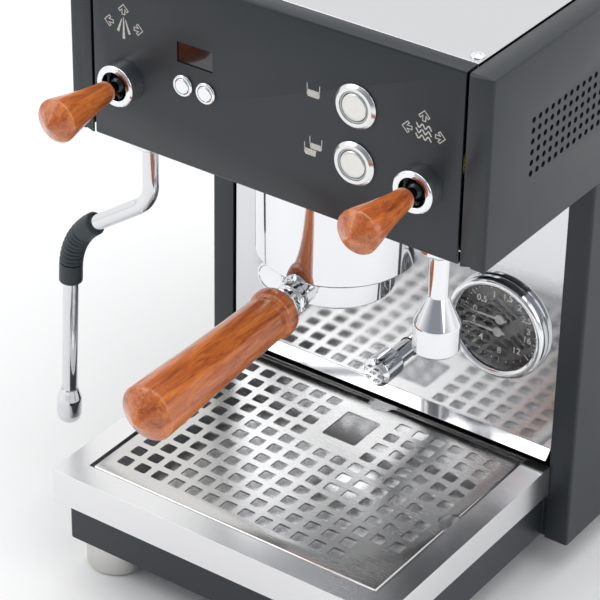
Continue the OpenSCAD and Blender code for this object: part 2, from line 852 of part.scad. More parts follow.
module shower_screen() {
    screen_z = gasket_z + 0.6;
    color("#c5c8ca") translate([0, group_y, 0]) rotate_extrude()
        polygon([[0, screen_z - 0.8], [4, screen_z - 0.8], [4.5, screen_z], [basket_r - 0.6, screen_z],
            [basket_r - 0.6, screen_z + 1.4], [0, screen_z + 1.4]]);
}

// ---- portafilter ----

// Places a piece on the handle's line, from the body's front wall to the handle's end
module on_handle_line() {
    translate([0, group_y - pf_r, neck_z]) rotate([pf_droop, 0, 0]) children();
}

module portafilter_body() {
    neck_l = group_y - pf_r - handle_y;
    boss_r = 9.8;
    boss_x = -24;
    color("#dcdfe1") difference() {
        union() {
            bar_z(pf_r, pf_bottom, pf_top - rim_t, 0, group_y);
            for (side = [0, 180]) translate([0, group_y, ear_z0]) rotate([0, 0, side - 14])
                rotate_extrude(angle = 28) translate([pf_r - 1, 0]) square([ear_r - pf_r + 1, ear_h]);
            on_handle_line() {
                rotate([90, 0, 0]) translate([0, 0, -4]) cylinder(r = neck_r, h = neck_l + 4);
                rotate([90, 0, 0]) translate([0, 0, neck_l - 5]) cylinder(r1 = neck_r, r2 = 12, h = 3);
                rotate([90, 0, 0]) translate([0, 0, neck_l - 2]) cylinder(r = 12.6, h = 2);
            }
            bar_y(boss_r, group_y - pf_r - 1, group_y - 18, boss_x, neck_z);
        }
        bar_z(pf_in_r, pf_bottom + 2, pf_top, 0, group_y);
        bar_z(pf_in_r - 2, pf_bottom - 1, pf_top, 0, group_y);
    }
}

module filter_basket() {
    wall = 0.7;
    cup_z = pf_bottom + 4;
    color("#cfd2d4") translate([0, group_y, 0]) rotate_extrude($fn = 96)
        polygon([[0, cup_z], [basket_r + wall - 2, cup_z], [basket_r + wall, cup_z + 2],
            [basket_r + wall, pf_top - rim_t], [pf_r - 0.4, pf_top - rim_t], [pf_r - 0.4, pf_top],
            [basket_r, pf_top], [basket_r, cup_z + 2.3], [basket_r - 2, cup_z + wall], [0, cup_z + wall]]);
}

// Turned wooden handle with a bead at the neck and a cone at the end
module portafilter_handle() {
    l = pf_handle_l;
    r = pf_handle_r;
    color("#a5552b") on_handle_line() translate([0, -(group_y - pf_r - handle_y), 0])
        turned_front([[0, 0], [0, r - 5], [1.5, r - 2.6], [5, r - 1.6], [9, r - 1.9], [11.5, r - 3.2],
            [13, r - 3.6], [0.3 * l, r - 3.1], [0.6 * l, r - 1.7], [0.8 * l, r - 0.5], [l - 13, r],
            [l - 11, r - 0.3], [l - 1, 1.5], [l, 0]]);
}

// ---- cup and drip surfaces ----

module drip_tray() {
    x1 = tray_w / 2;
    y0 = -tray_front;
    open_x = grid_hw + grid_gap;
    open_y0 = grid_y0 - grid_gap;
    open_y1 = grid_y1 + grid_gap;
    side_z = tray_top_z - tray_side_skirt;
    shelf_z = grid_top - grid_edge;
    color("#c9cccd") difference() {
        union() {
            block(-x1, x1, y0, tray_y1, tray_top_z - steel_t, tray_top_z);
            block(-x1, x1, y0, y0 + steel_t, tray_top_z - tray_skirt_h, tray_top_z);
            both_sides() block(x1 - steel_t, x1, y0, tray_y1, side_z, tray_top_z);
            block(-open_x - steel_t, open_x + steel_t, open_y0 - steel_t, tray_y1, tray_floor_z,
                tray_top_z);
        }
        difference() {
            block(-open_x, open_x, open_y0, open_y1, tray_floor_z + steel_t, tray_top_z + 1);
            for (y = [open_y0, open_y1 - 8]) both_sides()
                block(open_x - 8, open_x, y, y + 8, tray_floor_z, shelf_z);
        }
    }
}

// Cells of the grid without a small hole: the plain corner at the front right, the finger notch
// at the right, and the cells round the large drain opening at the back
function plain_cell(i, j) = i > grid_cols - 3 && j < 2
    || i == grid_cols - 1 && j == notch_row
    || abs(i - (grid_cols - 1) / 2) < 2 && j > grid_rows - 5;

function grid_row_y(j) = grid_y0 + grid_first + j * grid_pitch;

module grid_holes() {
    opening_w = 25;
    opening_l = 30;
    for (i = [0 : grid_cols - 1])
        for (j = [0 : grid_rows - 1])
            if (!plain_cell(i, j))
                translate([(i - (grid_cols - 1) / 2) * grid_pitch, grid_row_y(j)])
                    square(grid_hole, center = true);
    translate([-opening_w / 2, grid_row_y(grid_rows - 2) - opening_l + 9])
        square([opening_w, opening_l]);
}

module drip_grid() {
    notch_y = grid_row_y(notch_row);
    color("#d3d6d7") union() {
        translate([0, 0, grid_top - steel_t]) linear_extrude(steel_t) difference() {
            translate([-grid_hw, grid_y0]) square([2 * grid_hw, grid_y1 - grid_y0]);
            grid_holes();
            translate([0, grid_y1]) circle(r = notch_r);
            translate([grid_hw, notch_y]) circle(r = notch_r);
        }
        for (y = [grid_y0, grid_y1 - steel_t])
            both_sides() block(notch_r + 1, grid_hw, y, y + steel_t, grid_top - grid_edge,
                grid_top - steel_t);
        for (y = [[grid_y0, notch_y - notch_r - 1], [notch_y + notch_r + 1, grid_y1]])
            both_sides() block(grid_hw - steel_t, grid_hw, y[0], y[1], grid_top - grid_edge,
                grid_top - steel_t);
    }
}

module tank_lid() {
    color("#cfd2d3") union() {
        block(-top_hw, top_hw, lid_y0, lid_y1, body_h - steel_t, body_h);
        for (y = [lid_y0, lid_y1 - steel_t])
            block(-tank_hw, tank_hw, y, y + steel_t, body_h - hem_w + 1, body_h - steel_t);
    }
}

// ---- water system ----

module water_tank() {
    wall = tank_t;
    color([0.75, 0.85, 0.9, 0.5]) difference() {
        block(-tank_hw, tank_hw, tank_y0, tank_y1, tank_z, tank_z + tank_h);
        block(-tank_hw + wall, tank_hw - wall, tank_y0 + wall, tank_y1 - wall, tank_z + wall,
            tank_z + tank_h + 1);
    }
}

// A boiler shell along Y with a bolted end flange and a domed front
module boiler(x, r, l) {
    wall = 2;
    flange = 7;
    translate([x, boiler_y + l, boiler_z]) difference() {
        union() {
            turned_front([[0, 0], [0, r], [flange, r], [flange, r - 5], [l - 8, r - 5], [l - 3, r - 8],
                [l, r - 16], [l, 0]]);
            for (i = [0 : 7]) rotate([0, i * 45, 0]) bar_y(3, -flange - 3, 3, r - 4.5, 0);
        }
        turned_front([[wall + 2, 0], [wall + 2, r - 5 - wall], [l - 9, r - 5 - wall], [l - 4, r - 16],
            [l - wall, 0]]);
    }
}

module coffee_boiler() {
    color("#b9bcbe") boiler(coffee_boiler_x, coffee_boiler_r, coffee_boiler_l);
}

module steam_boiler() {
    color("#c0c3c5") boiler(steam_boiler_x, steam_boiler_r, steam_boiler_l);
}

// One heating rod loop with its terminals behind the boiler's flange
module heating_loop(x, l, spread) {
    translate([x, boiler_y + l, boiler_z]) {
        for (side = [-1, 1]) bar_y(3, 20 - l, -4, 0, side * spread);
        translate([0, 20 - l, -spread]) cylinder(r = 3, h = 2 * spread);
        for (side = [-1, 1]) bar_y(2.2, 0, 9, 0, side * spread);
    }
}

module heating_elements() {
    color("#8d8f91") union() {
        heating_loop(coffee_boiler_x, coffee_boiler_l, 12);
        heating_loop(steam_boiler_x, steam_boiler_l, 16);
    }
}

// Safety valve, vacuum breaker and level probe behind the steam boiler's flange
module boiler_valves() {
    y = boiler_y + steam_boiler_l;
    color("#b9923f") for (i = [-1, 1]) translate([steam_boiler_x + i * 22, y, boiler_z])
        turned_front([[0, 0], [0, 7], [-6, 7], [-6, 5], [-12, 5], [-12, 3.5], [-16, 3.5], [-16, 0]]);
}

module water_pump() {
    x = 40;
    y = overhang + 85;
    z = foot_h + sheet_t;
    color("#5a5d60") union() {
        for (dy = [-40, 40]) bar_z(9, z, z + 20, x, y + dy);
        block(x - 16, x + 16, y - 52, y + 52, z + 20, z + 24);
        bar_y(22, y - 45, y + 30, x, z + 46);
        bar_y(8, y + 30, y + 62, x, z + 46);
        block(x - 26, x + 26, y - 28, y + 14, z + 24, z + 72);
    }
}

// Copper lines from the pump to the boilers and from the boilers to the valves
module pipe_run(points, r) {
    elbow_extra = 0.8;
    elbow_tilt = [40, 25, 0];
    for (i = [0 : len(points) - 2]) {
        d = points[i + 1] - points[i];
        translate(points[i]) rotate([0, acos(d[2] / norm(d)), atan2(d[1], d[0])])
            cylinder(r = r, h = norm(d));
    }
    for (i = [1 : len(points) - 2])
        translate(points[i]) rotate(elbow_tilt) sphere(r = r + elbow_extra);
}

module copper_pipes() {
    pipe_r = 3;
    pump_y = overhang + 147;
    pump_z = foot_h + sheet_t + 46;
    hole_y = overhang + 22;
    valve_y = 51;
    feed_x = coffee_boiler_x + coffee_boiler_r + 8;
    front_y = boiler_y - 12;
    color("#b87333") union() {
        pipe_run([[40, pump_y, pump_z], [40, pump_y + 12, pump_z], [40, pump_y + 12, head_z - 30],
            [60, hole_y, head_z - 30], [60, hole_y, deck_z + 5], [feed_x, hole_y, deck_z + 5],
            [feed_x, front_y, deck_z + 5], [coffee_boiler_x, front_y, boiler_z - 14],
            [coffee_boiler_x, boiler_y, boiler_z - 14]], pipe_r);
        pipe_run([[coffee_boiler_x, boiler_y, boiler_z + 8], [coffee_boiler_x, front_y, boiler_z + 8],
            [0, group_y, boiler_z + 8], [0, group_y, deck_z + 24]], pipe_r);
        pipe_run([[steam_boiler_x, boiler_y, boiler_z + 26], [steam_boiler_x, front_y, boiler_z + 26],
            [-lever_x, front_y, boiler_z + 34], [-lever_x, valve_y + 8, lever_z],
            [-lever_x, valve_y, lever_z]], pipe_r);
        pipe_run([[steam_boiler_x, boiler_y, boiler_z - 22], [steam_boiler_x, front_y, boiler_z - 22],
            [lever_x, valve_y + 8, lever_z], [lever_x, valve_y, lever_z]], pipe_r);
    }
}

module control_box() {
    color("#3d4145") block(-in_hw + 12, -20, overhang + 60, back_y - 30, foot_h + 120, foot_h + 170);
}

module power_inlet() {
    color("#1b1c1e") difference() {
        union() {
            block(inlet_x - 13.6, inlet_x + 13.6, back_y - 18, body_d, inlet_z - 9.6, inlet_z + 9.6);
            block(inlet_x - 17, inlet_x + 17, body_d, body_d + 2.5, inlet_z - 13, inlet_z + 13);
        }
        block(inlet_x - 12, inlet_x + 12, back_y - 15, body_d + 3, inlet_z - 8, inlet_z + 8);
    }
}

// Rocker that tilts about X in the rear panel's cut-out
module power_switch() {
    color("#8e1f1a") union() {
        block(switch_x - 9.6, switch_x + 9.6, body_d - 6, body_d + 1.5, inlet_z - 5, inlet_z + 5);
        bar_x(1.5, switch_x - 10.4, switch_x + 10.4, body_d - 4, inlet_z);
    }
}

base_frame();
feet();
lower_side_left();
lower_side_right();
upper_side_left();
upper_side_right();
front_panel();
head_floor();
backsplash();
rear_panel();
cup_tray();
cup_tray_screws();
display_window();
group_cover();
group_head();
bayonet_ring();
group_gasket();
shower_screen();
coffee_boiler();
steam_boiler();
heating_elements();
boiler_valves();
water_pump();
copper_pipes();
control_box();
power_inlet();
power_switch();
valve_bodies();
lever_bezels();
wand_nuts();
gauge_case();
gauge_dial();
gauge_glass();
needle_boiler();
needle_pump();
button_bezels();
light_rings();
brew_button_one();
brew_button_two();
set_button_left();
set_button_right();
drain_nozzle();
steam_lever_yoke();
steam_lever_rod();
steam_lever_handle();
water_lever_yoke();
water_lever_rod();
water_lever_handle();
steam_wand_seat();
steam_wand_tube();
steam_wand_grip();
steam_wand_tip();
water_wand();
drip_tray();
drip_grid();
portafilter_body();
filter_basket();
portafilter_handle();
water_tank();
tank_lid();
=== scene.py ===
import json
import math

import bmesh
import bpy
from mathutils import Matrix, Vector


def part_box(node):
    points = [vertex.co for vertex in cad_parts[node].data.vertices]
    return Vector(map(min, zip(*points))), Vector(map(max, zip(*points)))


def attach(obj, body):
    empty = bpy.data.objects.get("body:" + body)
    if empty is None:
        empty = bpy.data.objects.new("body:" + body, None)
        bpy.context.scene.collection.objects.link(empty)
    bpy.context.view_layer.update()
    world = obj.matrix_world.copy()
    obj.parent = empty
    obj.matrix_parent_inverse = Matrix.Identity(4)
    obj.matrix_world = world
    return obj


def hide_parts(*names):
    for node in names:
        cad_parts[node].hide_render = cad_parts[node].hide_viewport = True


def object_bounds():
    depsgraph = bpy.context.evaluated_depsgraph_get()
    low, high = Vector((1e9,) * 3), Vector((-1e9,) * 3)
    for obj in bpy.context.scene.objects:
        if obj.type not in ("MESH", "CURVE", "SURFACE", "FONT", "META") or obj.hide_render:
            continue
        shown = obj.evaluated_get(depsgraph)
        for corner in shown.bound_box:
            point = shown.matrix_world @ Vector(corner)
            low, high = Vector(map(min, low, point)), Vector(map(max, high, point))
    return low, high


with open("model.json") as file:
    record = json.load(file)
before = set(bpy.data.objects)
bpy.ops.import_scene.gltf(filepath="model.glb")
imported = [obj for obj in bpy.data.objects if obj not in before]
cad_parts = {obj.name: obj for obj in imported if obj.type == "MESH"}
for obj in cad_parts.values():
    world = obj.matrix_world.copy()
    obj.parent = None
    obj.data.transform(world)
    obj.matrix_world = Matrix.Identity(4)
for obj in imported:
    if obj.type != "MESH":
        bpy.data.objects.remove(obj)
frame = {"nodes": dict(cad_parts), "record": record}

cad_lo, cad_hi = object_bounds()

# ---- Camera ----
# A long lens looks down on the machine from the front right, over the drip tray.
camera_turn = math.radians(34.8)
camera_tilt = math.radians(31.97)
camera_roll = math.radians(1.0)
camera_distance = 1.6417
camera_aim = Vector((0, 0.032, 0.201))
back = Vector((math.sin(camera_turn) * math.cos(camera_tilt),
               -math.cos(camera_turn) * math.cos(camera_tilt), math.sin(camera_tilt)))
level = Vector((math.cos(camera_turn), math.sin(camera_turn), 0))
upright = back.cross(level)
camera_x = math.cos(camera_roll) * level + math.sin(camera_roll) * upright
camera_y = back.cross(camera_x)
camera = bpy.data.objects.new("camera", bpy.data.cameras.new("camera"))
camera.data.sensor_width = 36
camera.data.lens = 167
camera.matrix_world = Matrix.Translation(camera_aim + camera_distance * back) @ Matrix(
    (camera_x, camera_y, back)).transposed().to_4x4()
bpy.context.scene.collection.objects.link(camera)
bpy.context.scene.camera = camera

# ---- Studio ----
# A white table under wide soft boxes. The room is white above and behind the machine and dimmer
# in front of it, so that polished steel and black paint both keep their depth.
bpy.context.scene.view_settings.view_transform = "Standard"


def linear(hex_colour):
    """An sRGB hex colour as linear red, green, blue and alpha."""
    parts = [int(hex_colour[i:i + 2], 16) / 255 for i in (1, 3, 5)]
    return [c / 12.92 if c <= 0.04045 else ((c + 0.055) / 1.055) ** 2.4 for c in parts] + [1.0]


def add_node(tree, kind, settings=None, **attributes):
    """Adds one node. A setting that is an output socket is joined up, any other is the input's value."""
    made = tree.nodes.new(kind)
    for key, value in attributes.items():
        setattr(made, key, value)
    for key, value in (settings or {}).items():
        if isinstance(value, bpy.types.NodeSocket):
            tree.links.new(value, made.inputs[key])
        else:
            made.inputs[key].default_value = value
    return made


def start_finish(name):
    """An empty material, its node tree and the coordinates that its pattern follows."""
    material = bpy.data.materials.new(name)
    material.use_nodes = True
    tree = material.node_tree
    tree.nodes.clear()
    return material, tree, add_node(tree, "ShaderNodeTexCoord").outputs["Object"]


def close_finish(tree, settings):
    """Adds the surface shader with these settings and joins it to the output."""
    shader = add_node(tree, "ShaderNodeBsdfPrincipled", settings)
    add_node(tree, "ShaderNodeOutputMaterial", {"Surface": shader.outputs[0]})
    return shader


table_finish, tree, place = start_finish("white_table")
close_finish(tree, {"Base Color": linear("#f4f4f4"), "Roughness": 0.6})
table_size = 8.0
table_mesh = bpy.data.meshes.new("table")
table_mesh.from_pydata([(x, y, 0) for x, y in ((-1, -1), (1, -1), (1, 1), (-1, 1))], [], [(0, 1, 2, 3)])
table_mesh.transform(Matrix.Diagonal((table_size, table_size, 1, 1)))
table_mesh.transform(Matrix.Translation((0, 0, cad_lo.z - 0.0002)))
table_mesh.materials.append(table_finish)
table = bpy.data.objects.new("table", table_mesh)
bpy.context.scene.collection.objects.link(table)

surround = bpy.data.worlds.new("surround")
surround.use_nodes = True
sky = surround.node_tree
sky.nodes.clear()
heading = add_node(sky, "ShaderNodeTexCoord").outputs["Generated"]
room_front = add_node(sky, "ShaderNodeVectorMath", {0: heading, 1: (0.35, -0.9, 0.2)}, operation="DOT_PRODUCT")
room = add_node(sky, "ShaderNodeValToRGB", {"Fac": room_front.outputs["Value"]})
room.color_ramp.elements[0].position, room.color_ramp.elements[0].color = 0.1, linear("#ffffff")
room.color_ramp.elements[1].position, room.color_ramp.elements[1].color = 0.9, linear("#8e9299")
backdrop = add_node(sky, "ShaderNodeBackground", {"Color": room.outputs[0], "Strength": 1.12})
add_node(sky, "ShaderNodeOutputWorld", {"Surface": backdrop.outputs[0]})
bpy.context.scene.world = surround

for name, position, width, power in (("soft_box_left", (-1.5, -1.3, 1.9), 1.4, 16),
                                     ("soft_box_top", (0.3, 0.2, 2.2), 1.8, 14),
                                     ("soft_box_right", (1.9, -0.3, 1.2), 1.3, 7)):
    lamp = bpy.data.lights.new(name, "AREA")
    lamp.size = width
    lamp.energy = power
    soft_box = bpy.data.objects.new(name, lamp)
    soft_box.location = position
    soft_box.rotation_euler = (camera_aim - Vector(position)).to_track_quat("-Z", "Y").to_euler()
    bpy.context.scene.collection.objects.link(soft_box)

# ---- Painted body sheets ----
# Folded steel sheet, 1.5 mm thick with rounded bends, in fine black powder coat. The two tall
# lower sides are columns beside the mirror sheet, and the wider upper sides hang over them.
mm = 0.001
sheet_t = 1.5 * mm
bend_r = 1.8 * mm


def powder_coat(name, hex_colour):
    """Sprayed and baked polyester powder: a soft even sheen with a faint orange peel."""
    material, tree, place = start_finish(name)
    peel = add_node(tree, "ShaderNodeTexNoise", {"Vector": place, "Scale": 1 / (1.1 * mm), "Detail": 3.0})
    cloud = add_node(tree, "ShaderNodeTexNoise", {"Vector": place, "Scale": 1 / (60 * mm), "Detail": 2.0})
    sheen = add_node(tree, "ShaderNodeMapRange", {"Value": cloud.outputs[0], "To Min": 0.36, "To Max": 0.46})
    bump = add_node(tree, "ShaderNodeBump", {"Height": peel.outputs[0], "Strength": 0.25,
                                             "Distance": 0.04 * mm})
    close_finish(tree, {"Base Color": linear(hex_colour), "Roughness": sheen.outputs[0],
                        "Specular IOR Level": 0.5, "Normal": bump.outputs[0]})
    return material


def smoothed(mesh, sharp_above=32):
    """Smooth shading that stops at every edge sharper than an angle in degrees."""
    work = bmesh.new()
    work.from_mesh(mesh)
    for face in work.faces:
        face.smooth = True
    for edge in work.edges:
        edge.smooth = len(edge.link_faces) == 2 and edge.calc_face_angle(0) < math.radians(sharp_above)
    work.to_mesh(mesh)
    work.free()
    return mesh


def with_modifiers(mesh, *modifiers):
    """The mesh after a stack of (kind, settings) modifiers, as a plain mesh."""
    held = bpy.data.objects.new("work", mesh)
    bpy.context.scene.collection.objects.link(held)
    for kind, settings in modifiers:
        added = held.modifiers.new(kind.lower(), kind)
        for key, value in settings.items():
            setattr(added, key, value)
    depsgraph = bpy.context.evaluated_depsgraph_get()
    result = bpy.data.meshes.new_from_object(held.evaluated_get(depsgraph))
    bpy.data.objects.remove(held)
    return result


def rounded_edges(width, steps=3, angle=30):
    """Settings for a modifier that rounds each edge sharper than an angle."""
    return ("BEVEL", {"width": width, "segments": steps, "limit_method": "ANGLE",
                      "angle_limit": math.radians(angle), "harden_normals": True,
                      "use_clamp_overlap": True})


def folded(corners, faces, outward, thickness=sheet_t, radius=bend_r, rim=0.25 * mm):
    """A sheet folded from flat faces that share edges. The first face looks outward, the bends are
    rounded and the thickness goes inwards."""
    work = bmesh.new()
    points = [work.verts.new(c) for c in corners]
    flat = [work.faces.new([points[i] for i in face]) for face in faces]
    bmesh.ops.recalc_face_normals(work, faces=work.faces)
    if flat[0].normal.dot(Vector(outward)) < 0:
        bmesh.ops.reverse_faces(work, faces=work.faces)
    mesh = bpy.data.meshes.new("folded")
    work.to_mesh(mesh)
    work.free()
    bent = with_modifiers(smoothed(mesh, 180), rounded_edges(radius, 4),
                          ("SOLIDIFY", {"thickness": thickness, "offset": -1.0}))
    return with_modifiers(smoothed(bent), rounded_edges(rim, 2, 50)) if rim else smoothed(bent)


def fitted(name, mesh, finish, body, slot, *nodes):
    """Puts a finished mesh on a body in place of the CAD nodes that it stands for."""
    mesh.materials.clear()
    mesh.materials.append(finish)
    made = bpy.data.objects.new(name, mesh)
    bpy.context.scene.collection.objects.link(made)
    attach(made, body)
    if nodes:
        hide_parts(*nodes)
    return made


def punch_tree():
    """Cuts a rounded hole at every point of a mesh through a plate."""
    group = bpy.data.node_groups.new("punched_sheet", "GeometryNodeTree")
    for label, kind in (("Points", "NodeSocketGeometry"), ("Plate", "NodeSocketObject"),
                        ("Hole width", "NodeSocketFloat"), ("Hole length", "NodeSocketFloat"),
                        ("Corner radius", "NodeSocketFloat"), ("Corner steps", "NodeSocketInt"),
                        ("Reach", "NodeSocketVector"), ("Finish", "NodeSocketMaterial")):
        group.interface.new_socket(label, in_out="INPUT", socket_type=kind)
    group.interface.new_socket("Sheet", in_out="OUTPUT", socket_type="NodeSocketGeometry")
    given = add_node(group, "NodeGroupInput").outputs
    backwards = add_node(group, "ShaderNodeVectorMath", {"Vector": given["Reach"], "Scale": -1.0},
                         operation="SCALE")
    path = add_node(group, "GeometryNodeCurvePrimitiveLine",
                    {"Start": backwards.outputs[0], "End": given["Reach"]})
    outline = add_node(group, "GeometryNodeCurvePrimitiveQuadrilateral",
                       {"Width": given["Hole width"], "Height": given["Hole length"]})
    corners = add_node(group, "GeometryNodeFilletCurve", {
        "Curve": outline.outputs[0], "Count": given["Corner steps"], "Radius": given["Corner radius"]},
        mode="POLY")
    punch = add_node(group, "GeometryNodeCurveToMesh", {
        "Curve": path.outputs[0], "Profile Curve": corners.outputs[0], "Fill Caps": True})
    punches = add_node(group, "GeometryNodeInstanceOnPoints", {
        "Points": given["Points"], "Instance": punch.outputs[0]})
    solid = add_node(group, "GeometryNodeRealizeInstances", {"Geometry": punches.outputs[0]})
    plate = add_node(group, "GeometryNodeObjectInfo", {"Object": given["Plate"]})
    cut = add_node(group, "GeometryNodeMeshBoolean", {"Mesh 1": plate.outputs["Geometry"]},
                   operation="DIFFERENCE", solver="EXACT")
    group.links.new(solid.outputs[0], cut.inputs["Mesh 2"])
    coated = add_node(group, "GeometryNodeSetMaterial", {
        "Geometry": cut.outputs["Mesh"], "Material": given["Finish"]})
    add_node(group, "NodeGroupOutput", {"Sheet": coated.outputs[0]})
    return group


punched_sheet = punch_tree()


def grown(tree, points, settings):
    """The plain mesh that a Geometry Nodes tree grows from a mesh of points. A mesh among the
    settings is held as an object while the tree works."""
    held = [bpy.data.objects.new("points", points)]
    grow = held[0].modifiers.new("grow", "NODES")
    grow.node_group = tree
    for item in tree.interface.items_tree:
        if item.in_out == "INPUT" and item.name in settings:
            value = settings[item.name]
            if isinstance(value, bpy.types.Mesh):
                value = bpy.data.objects.new("item", value)
                held.append(value)
            grow[item.identifier] = value
    for work in held:
        bpy.context.scene.collection.objects.link(work)
    depsgraph = bpy.context.evaluated_depsgraph_get()
    result = bpy.data.meshes.new_from_object(held[0].evaluated_get(depsgraph))
    for work in held:
        bpy.data.objects.remove(work)
    return result


def punched(mesh, centres, size, corner, steps, reach, finish):
    """A plate with a hole at each centre. Reach is how far the punch goes to either side."""
    points = bpy.data.meshes.new("centres")
    points.from_pydata(centres, [], [])
    return smoothed(grown(punched_sheet, points, {
        "Plate": mesh, "Hole width": size[0], "Hole length": size[1], "Corner radius": corner,
        "Corner steps": steps, "Reach": reach, "Finish": finish}))


black_coat = powder_coat("black_powder_coat", "#1d2429")

perf_first = 43.7 * mm
perf_top = 41.5 * mm
perf_pitch = 6.6 * mm
perf_r = 1.9 * mm
perf_columns, perf_rows = 22, 6
hem_w = 9 * mm
for side, sign in (("right", 1), ("left", -1)):
    lo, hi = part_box(f"upper_side_{side}")
    outer = max(abs(lo.x), abs(hi.x))
    inner = min(abs(lo.x), abs(hi.x))
    hem = outer - hem_w
    corners = [(sign * x, y, z) for x, y, z in (
        (inner, lo.y, lo.z), (hem, lo.y, lo.z), (outer, lo.y, lo.z), (outer, lo.y, hi.z), (inner, lo.y, hi.z),
        (hem, hi.y, lo.z), (outer, hi.y, lo.z), (outer, hi.y, hi.z), (inner, hi.y, hi.z))]
    sheet = folded(corners, [(2, 6, 7, 3), (0, 1, 2, 3, 4), (4, 3, 7, 8), (1, 5, 6, 2)], (sign, 0, 0))
    holes = [(sign * outer, lo.y + perf_first + i * perf_pitch, hi.z - perf_top - j * perf_pitch)
             for i in range(perf_columns) for j in range(perf_rows)]
    sheet = punched(sheet, holes, (2 * perf_r, 2 * perf_r), perf_r, 5, (4 * mm, 0, 0), black_coat)
    fitted(f"upper_side_sheet_{side}", sheet, black_coat, "housing", "black_powder_coat", f"upper_side_{side}")

    lo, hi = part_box(f"lower_side_{side}")
    outer = max(abs(lo.x), abs(hi.x))
    inner = min(abs(lo.x), abs(hi.x))
    corners = [(sign * x, y, z) for x, y, z in (
        (inner, lo.y, lo.z), (outer, lo.y, lo.z), (outer, lo.y, hi.z), (inner, lo.y, hi.z),
        (outer, hi.y, lo.z), (outer, hi.y, hi.z))]
    fitted(f"column_sheet_{side}", folded(corners, [(1, 4, 5, 2), (0, 1, 2, 3)], (sign, 0, 0)), black_coat,
           "housing", "black_powder_coat", f"lower_side_{side}")

panel_lo, panel_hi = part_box("front_panel")
corners = [(x, y, z) for y in (panel_lo.y, panel_hi.y) for z in (panel_lo.z, panel_hi.z)
           for x in (panel_lo.x, panel_hi.x)]
panel = folded(corners, [(0, 1, 3, 2), (2, 3, 7, 6), (0, 1, 5, 4)], (0, -1, 0))


def front_hole(mesh, centres, size, corner):
    """Cuts holes through the face of the front panel at (x, z) centres."""
    return punched(mesh, [(x, panel_lo.y, z) for x, z in centres], size, corner, 12, (0, 4 * mm, 0), black_coat)


def middle(node):
    """Centre of a CAD node's box, in the plane of the front panel."""
    lo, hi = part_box(node)
    return ((lo.x + hi.x) / 2, (lo.z + hi.z) / 2)


lever_centres = [(sign * (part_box("water_lever_yoke")[0].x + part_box("water_lever_yoke")[1].x) / 2,
                  middle("water_lever_yoke")[1]) for sign in (-1, 1)]
lever_hole_r = 10.2 * mm
brew_hole_r = 10.8 * mm
set_hole_r = 5.9 * mm
panel = front_hole(panel, lever_centres, (2 * lever_hole_r, 2 * lever_hole_r), lever_hole_r)
panel = front_hole(panel, [middle("brew_button_one"), middle("brew_button_two")],
                   (2 * brew_hole_r, 2 * brew_hole_r), brew_hole_r)
panel = front_hole(panel, [middle("set_button_left"), middle("set_button_right")],
                   (2 * set_hole_r, 2 * set_hole_r), set_hole_r)
window_lo, window_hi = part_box("display_window")
window_lip = 1.5 * mm
window_w = window_hi.x - window_lo.x - 2 * window_lip
window_h = window_hi.z - window_lo.z - 2 * window_lip
panel = punched(panel, [(middle("display_window")[0], panel_lo.y, middle("display_window")[1])],
                (window_w, window_h), 0.3 * mm, 2, (0, 4 * mm, 0), black_coat)
fitted("front_panel_sheet", panel, black_coat, "housing", "black_powder_coat", "front_panel")

# ---- Base pan, head floor and rear panel ----
# Laser-cut and folded steel like the sides. The base pan carries the drip tray, the head floor
# carries the boilers, and the rear panel closes the back with a row of vent slots.


def eased(node, width=0.3 * mm, steps=2, corner_r=0, at_corner=None):
    """A copy of a CAD node's mesh, merged, with its sharp edges rounded. The upright edges whose
    middle at_corner accepts get the larger corner radius first."""
    work = bmesh.new()
    work.from_mesh(frame["nodes"][node].data)
    bmesh.ops.remove_doubles(work, verts=work.verts, dist=0.002 * mm)
    bmesh.ops.dissolve_limit(work, angle_limit=math.radians(1), verts=work.verts, edges=work.edges)
    if at_corner:
        upright_edges = [edge for edge in work.edges if len(edge.link_faces) == 2
                         and abs((edge.verts[0].co - edge.verts[1].co).normalized().z) > 0.99
                         and edge.calc_face_angle() > 1
                         and at_corner((edge.verts[0].co + edge.verts[1].co) / 2)]
        bmesh.ops.bevel(work, geom=upright_edges, offset=corner_r, segments=6, profile=0.5,
                        affect="EDGES", clamp_overlap=True)
    mesh = bpy.data.meshes.new(node)
    work.to_mesh(mesh)
    work.free()
    return with_modifiers(smoothed(mesh), rounded_edges(width, steps))


base_lo, base_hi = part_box("base_frame")
fitted("base_pan", eased("base_frame", 0.5 * mm, 3, 3 * mm, lambda at: at.y < base_lo.y + 3 * mm), black_coat,
       "housing", "black_powder_coat", "base_frame")
fitted("rear_sheet", eased("rear_panel", 0.4 * mm), black_coat, "housing", "black_powder_coat", "rear_panel")
chassis_paint = powder_coat("chassis_paint", "#33373a")
fitted("head_floor_plate", eased("head_floor"), chassis_paint, "housing", "chassis_steel", "head_floor")

# ---- Feet and back screws ----
# Four satin turned aluminium feet under the base, and black button-head screws round the back.


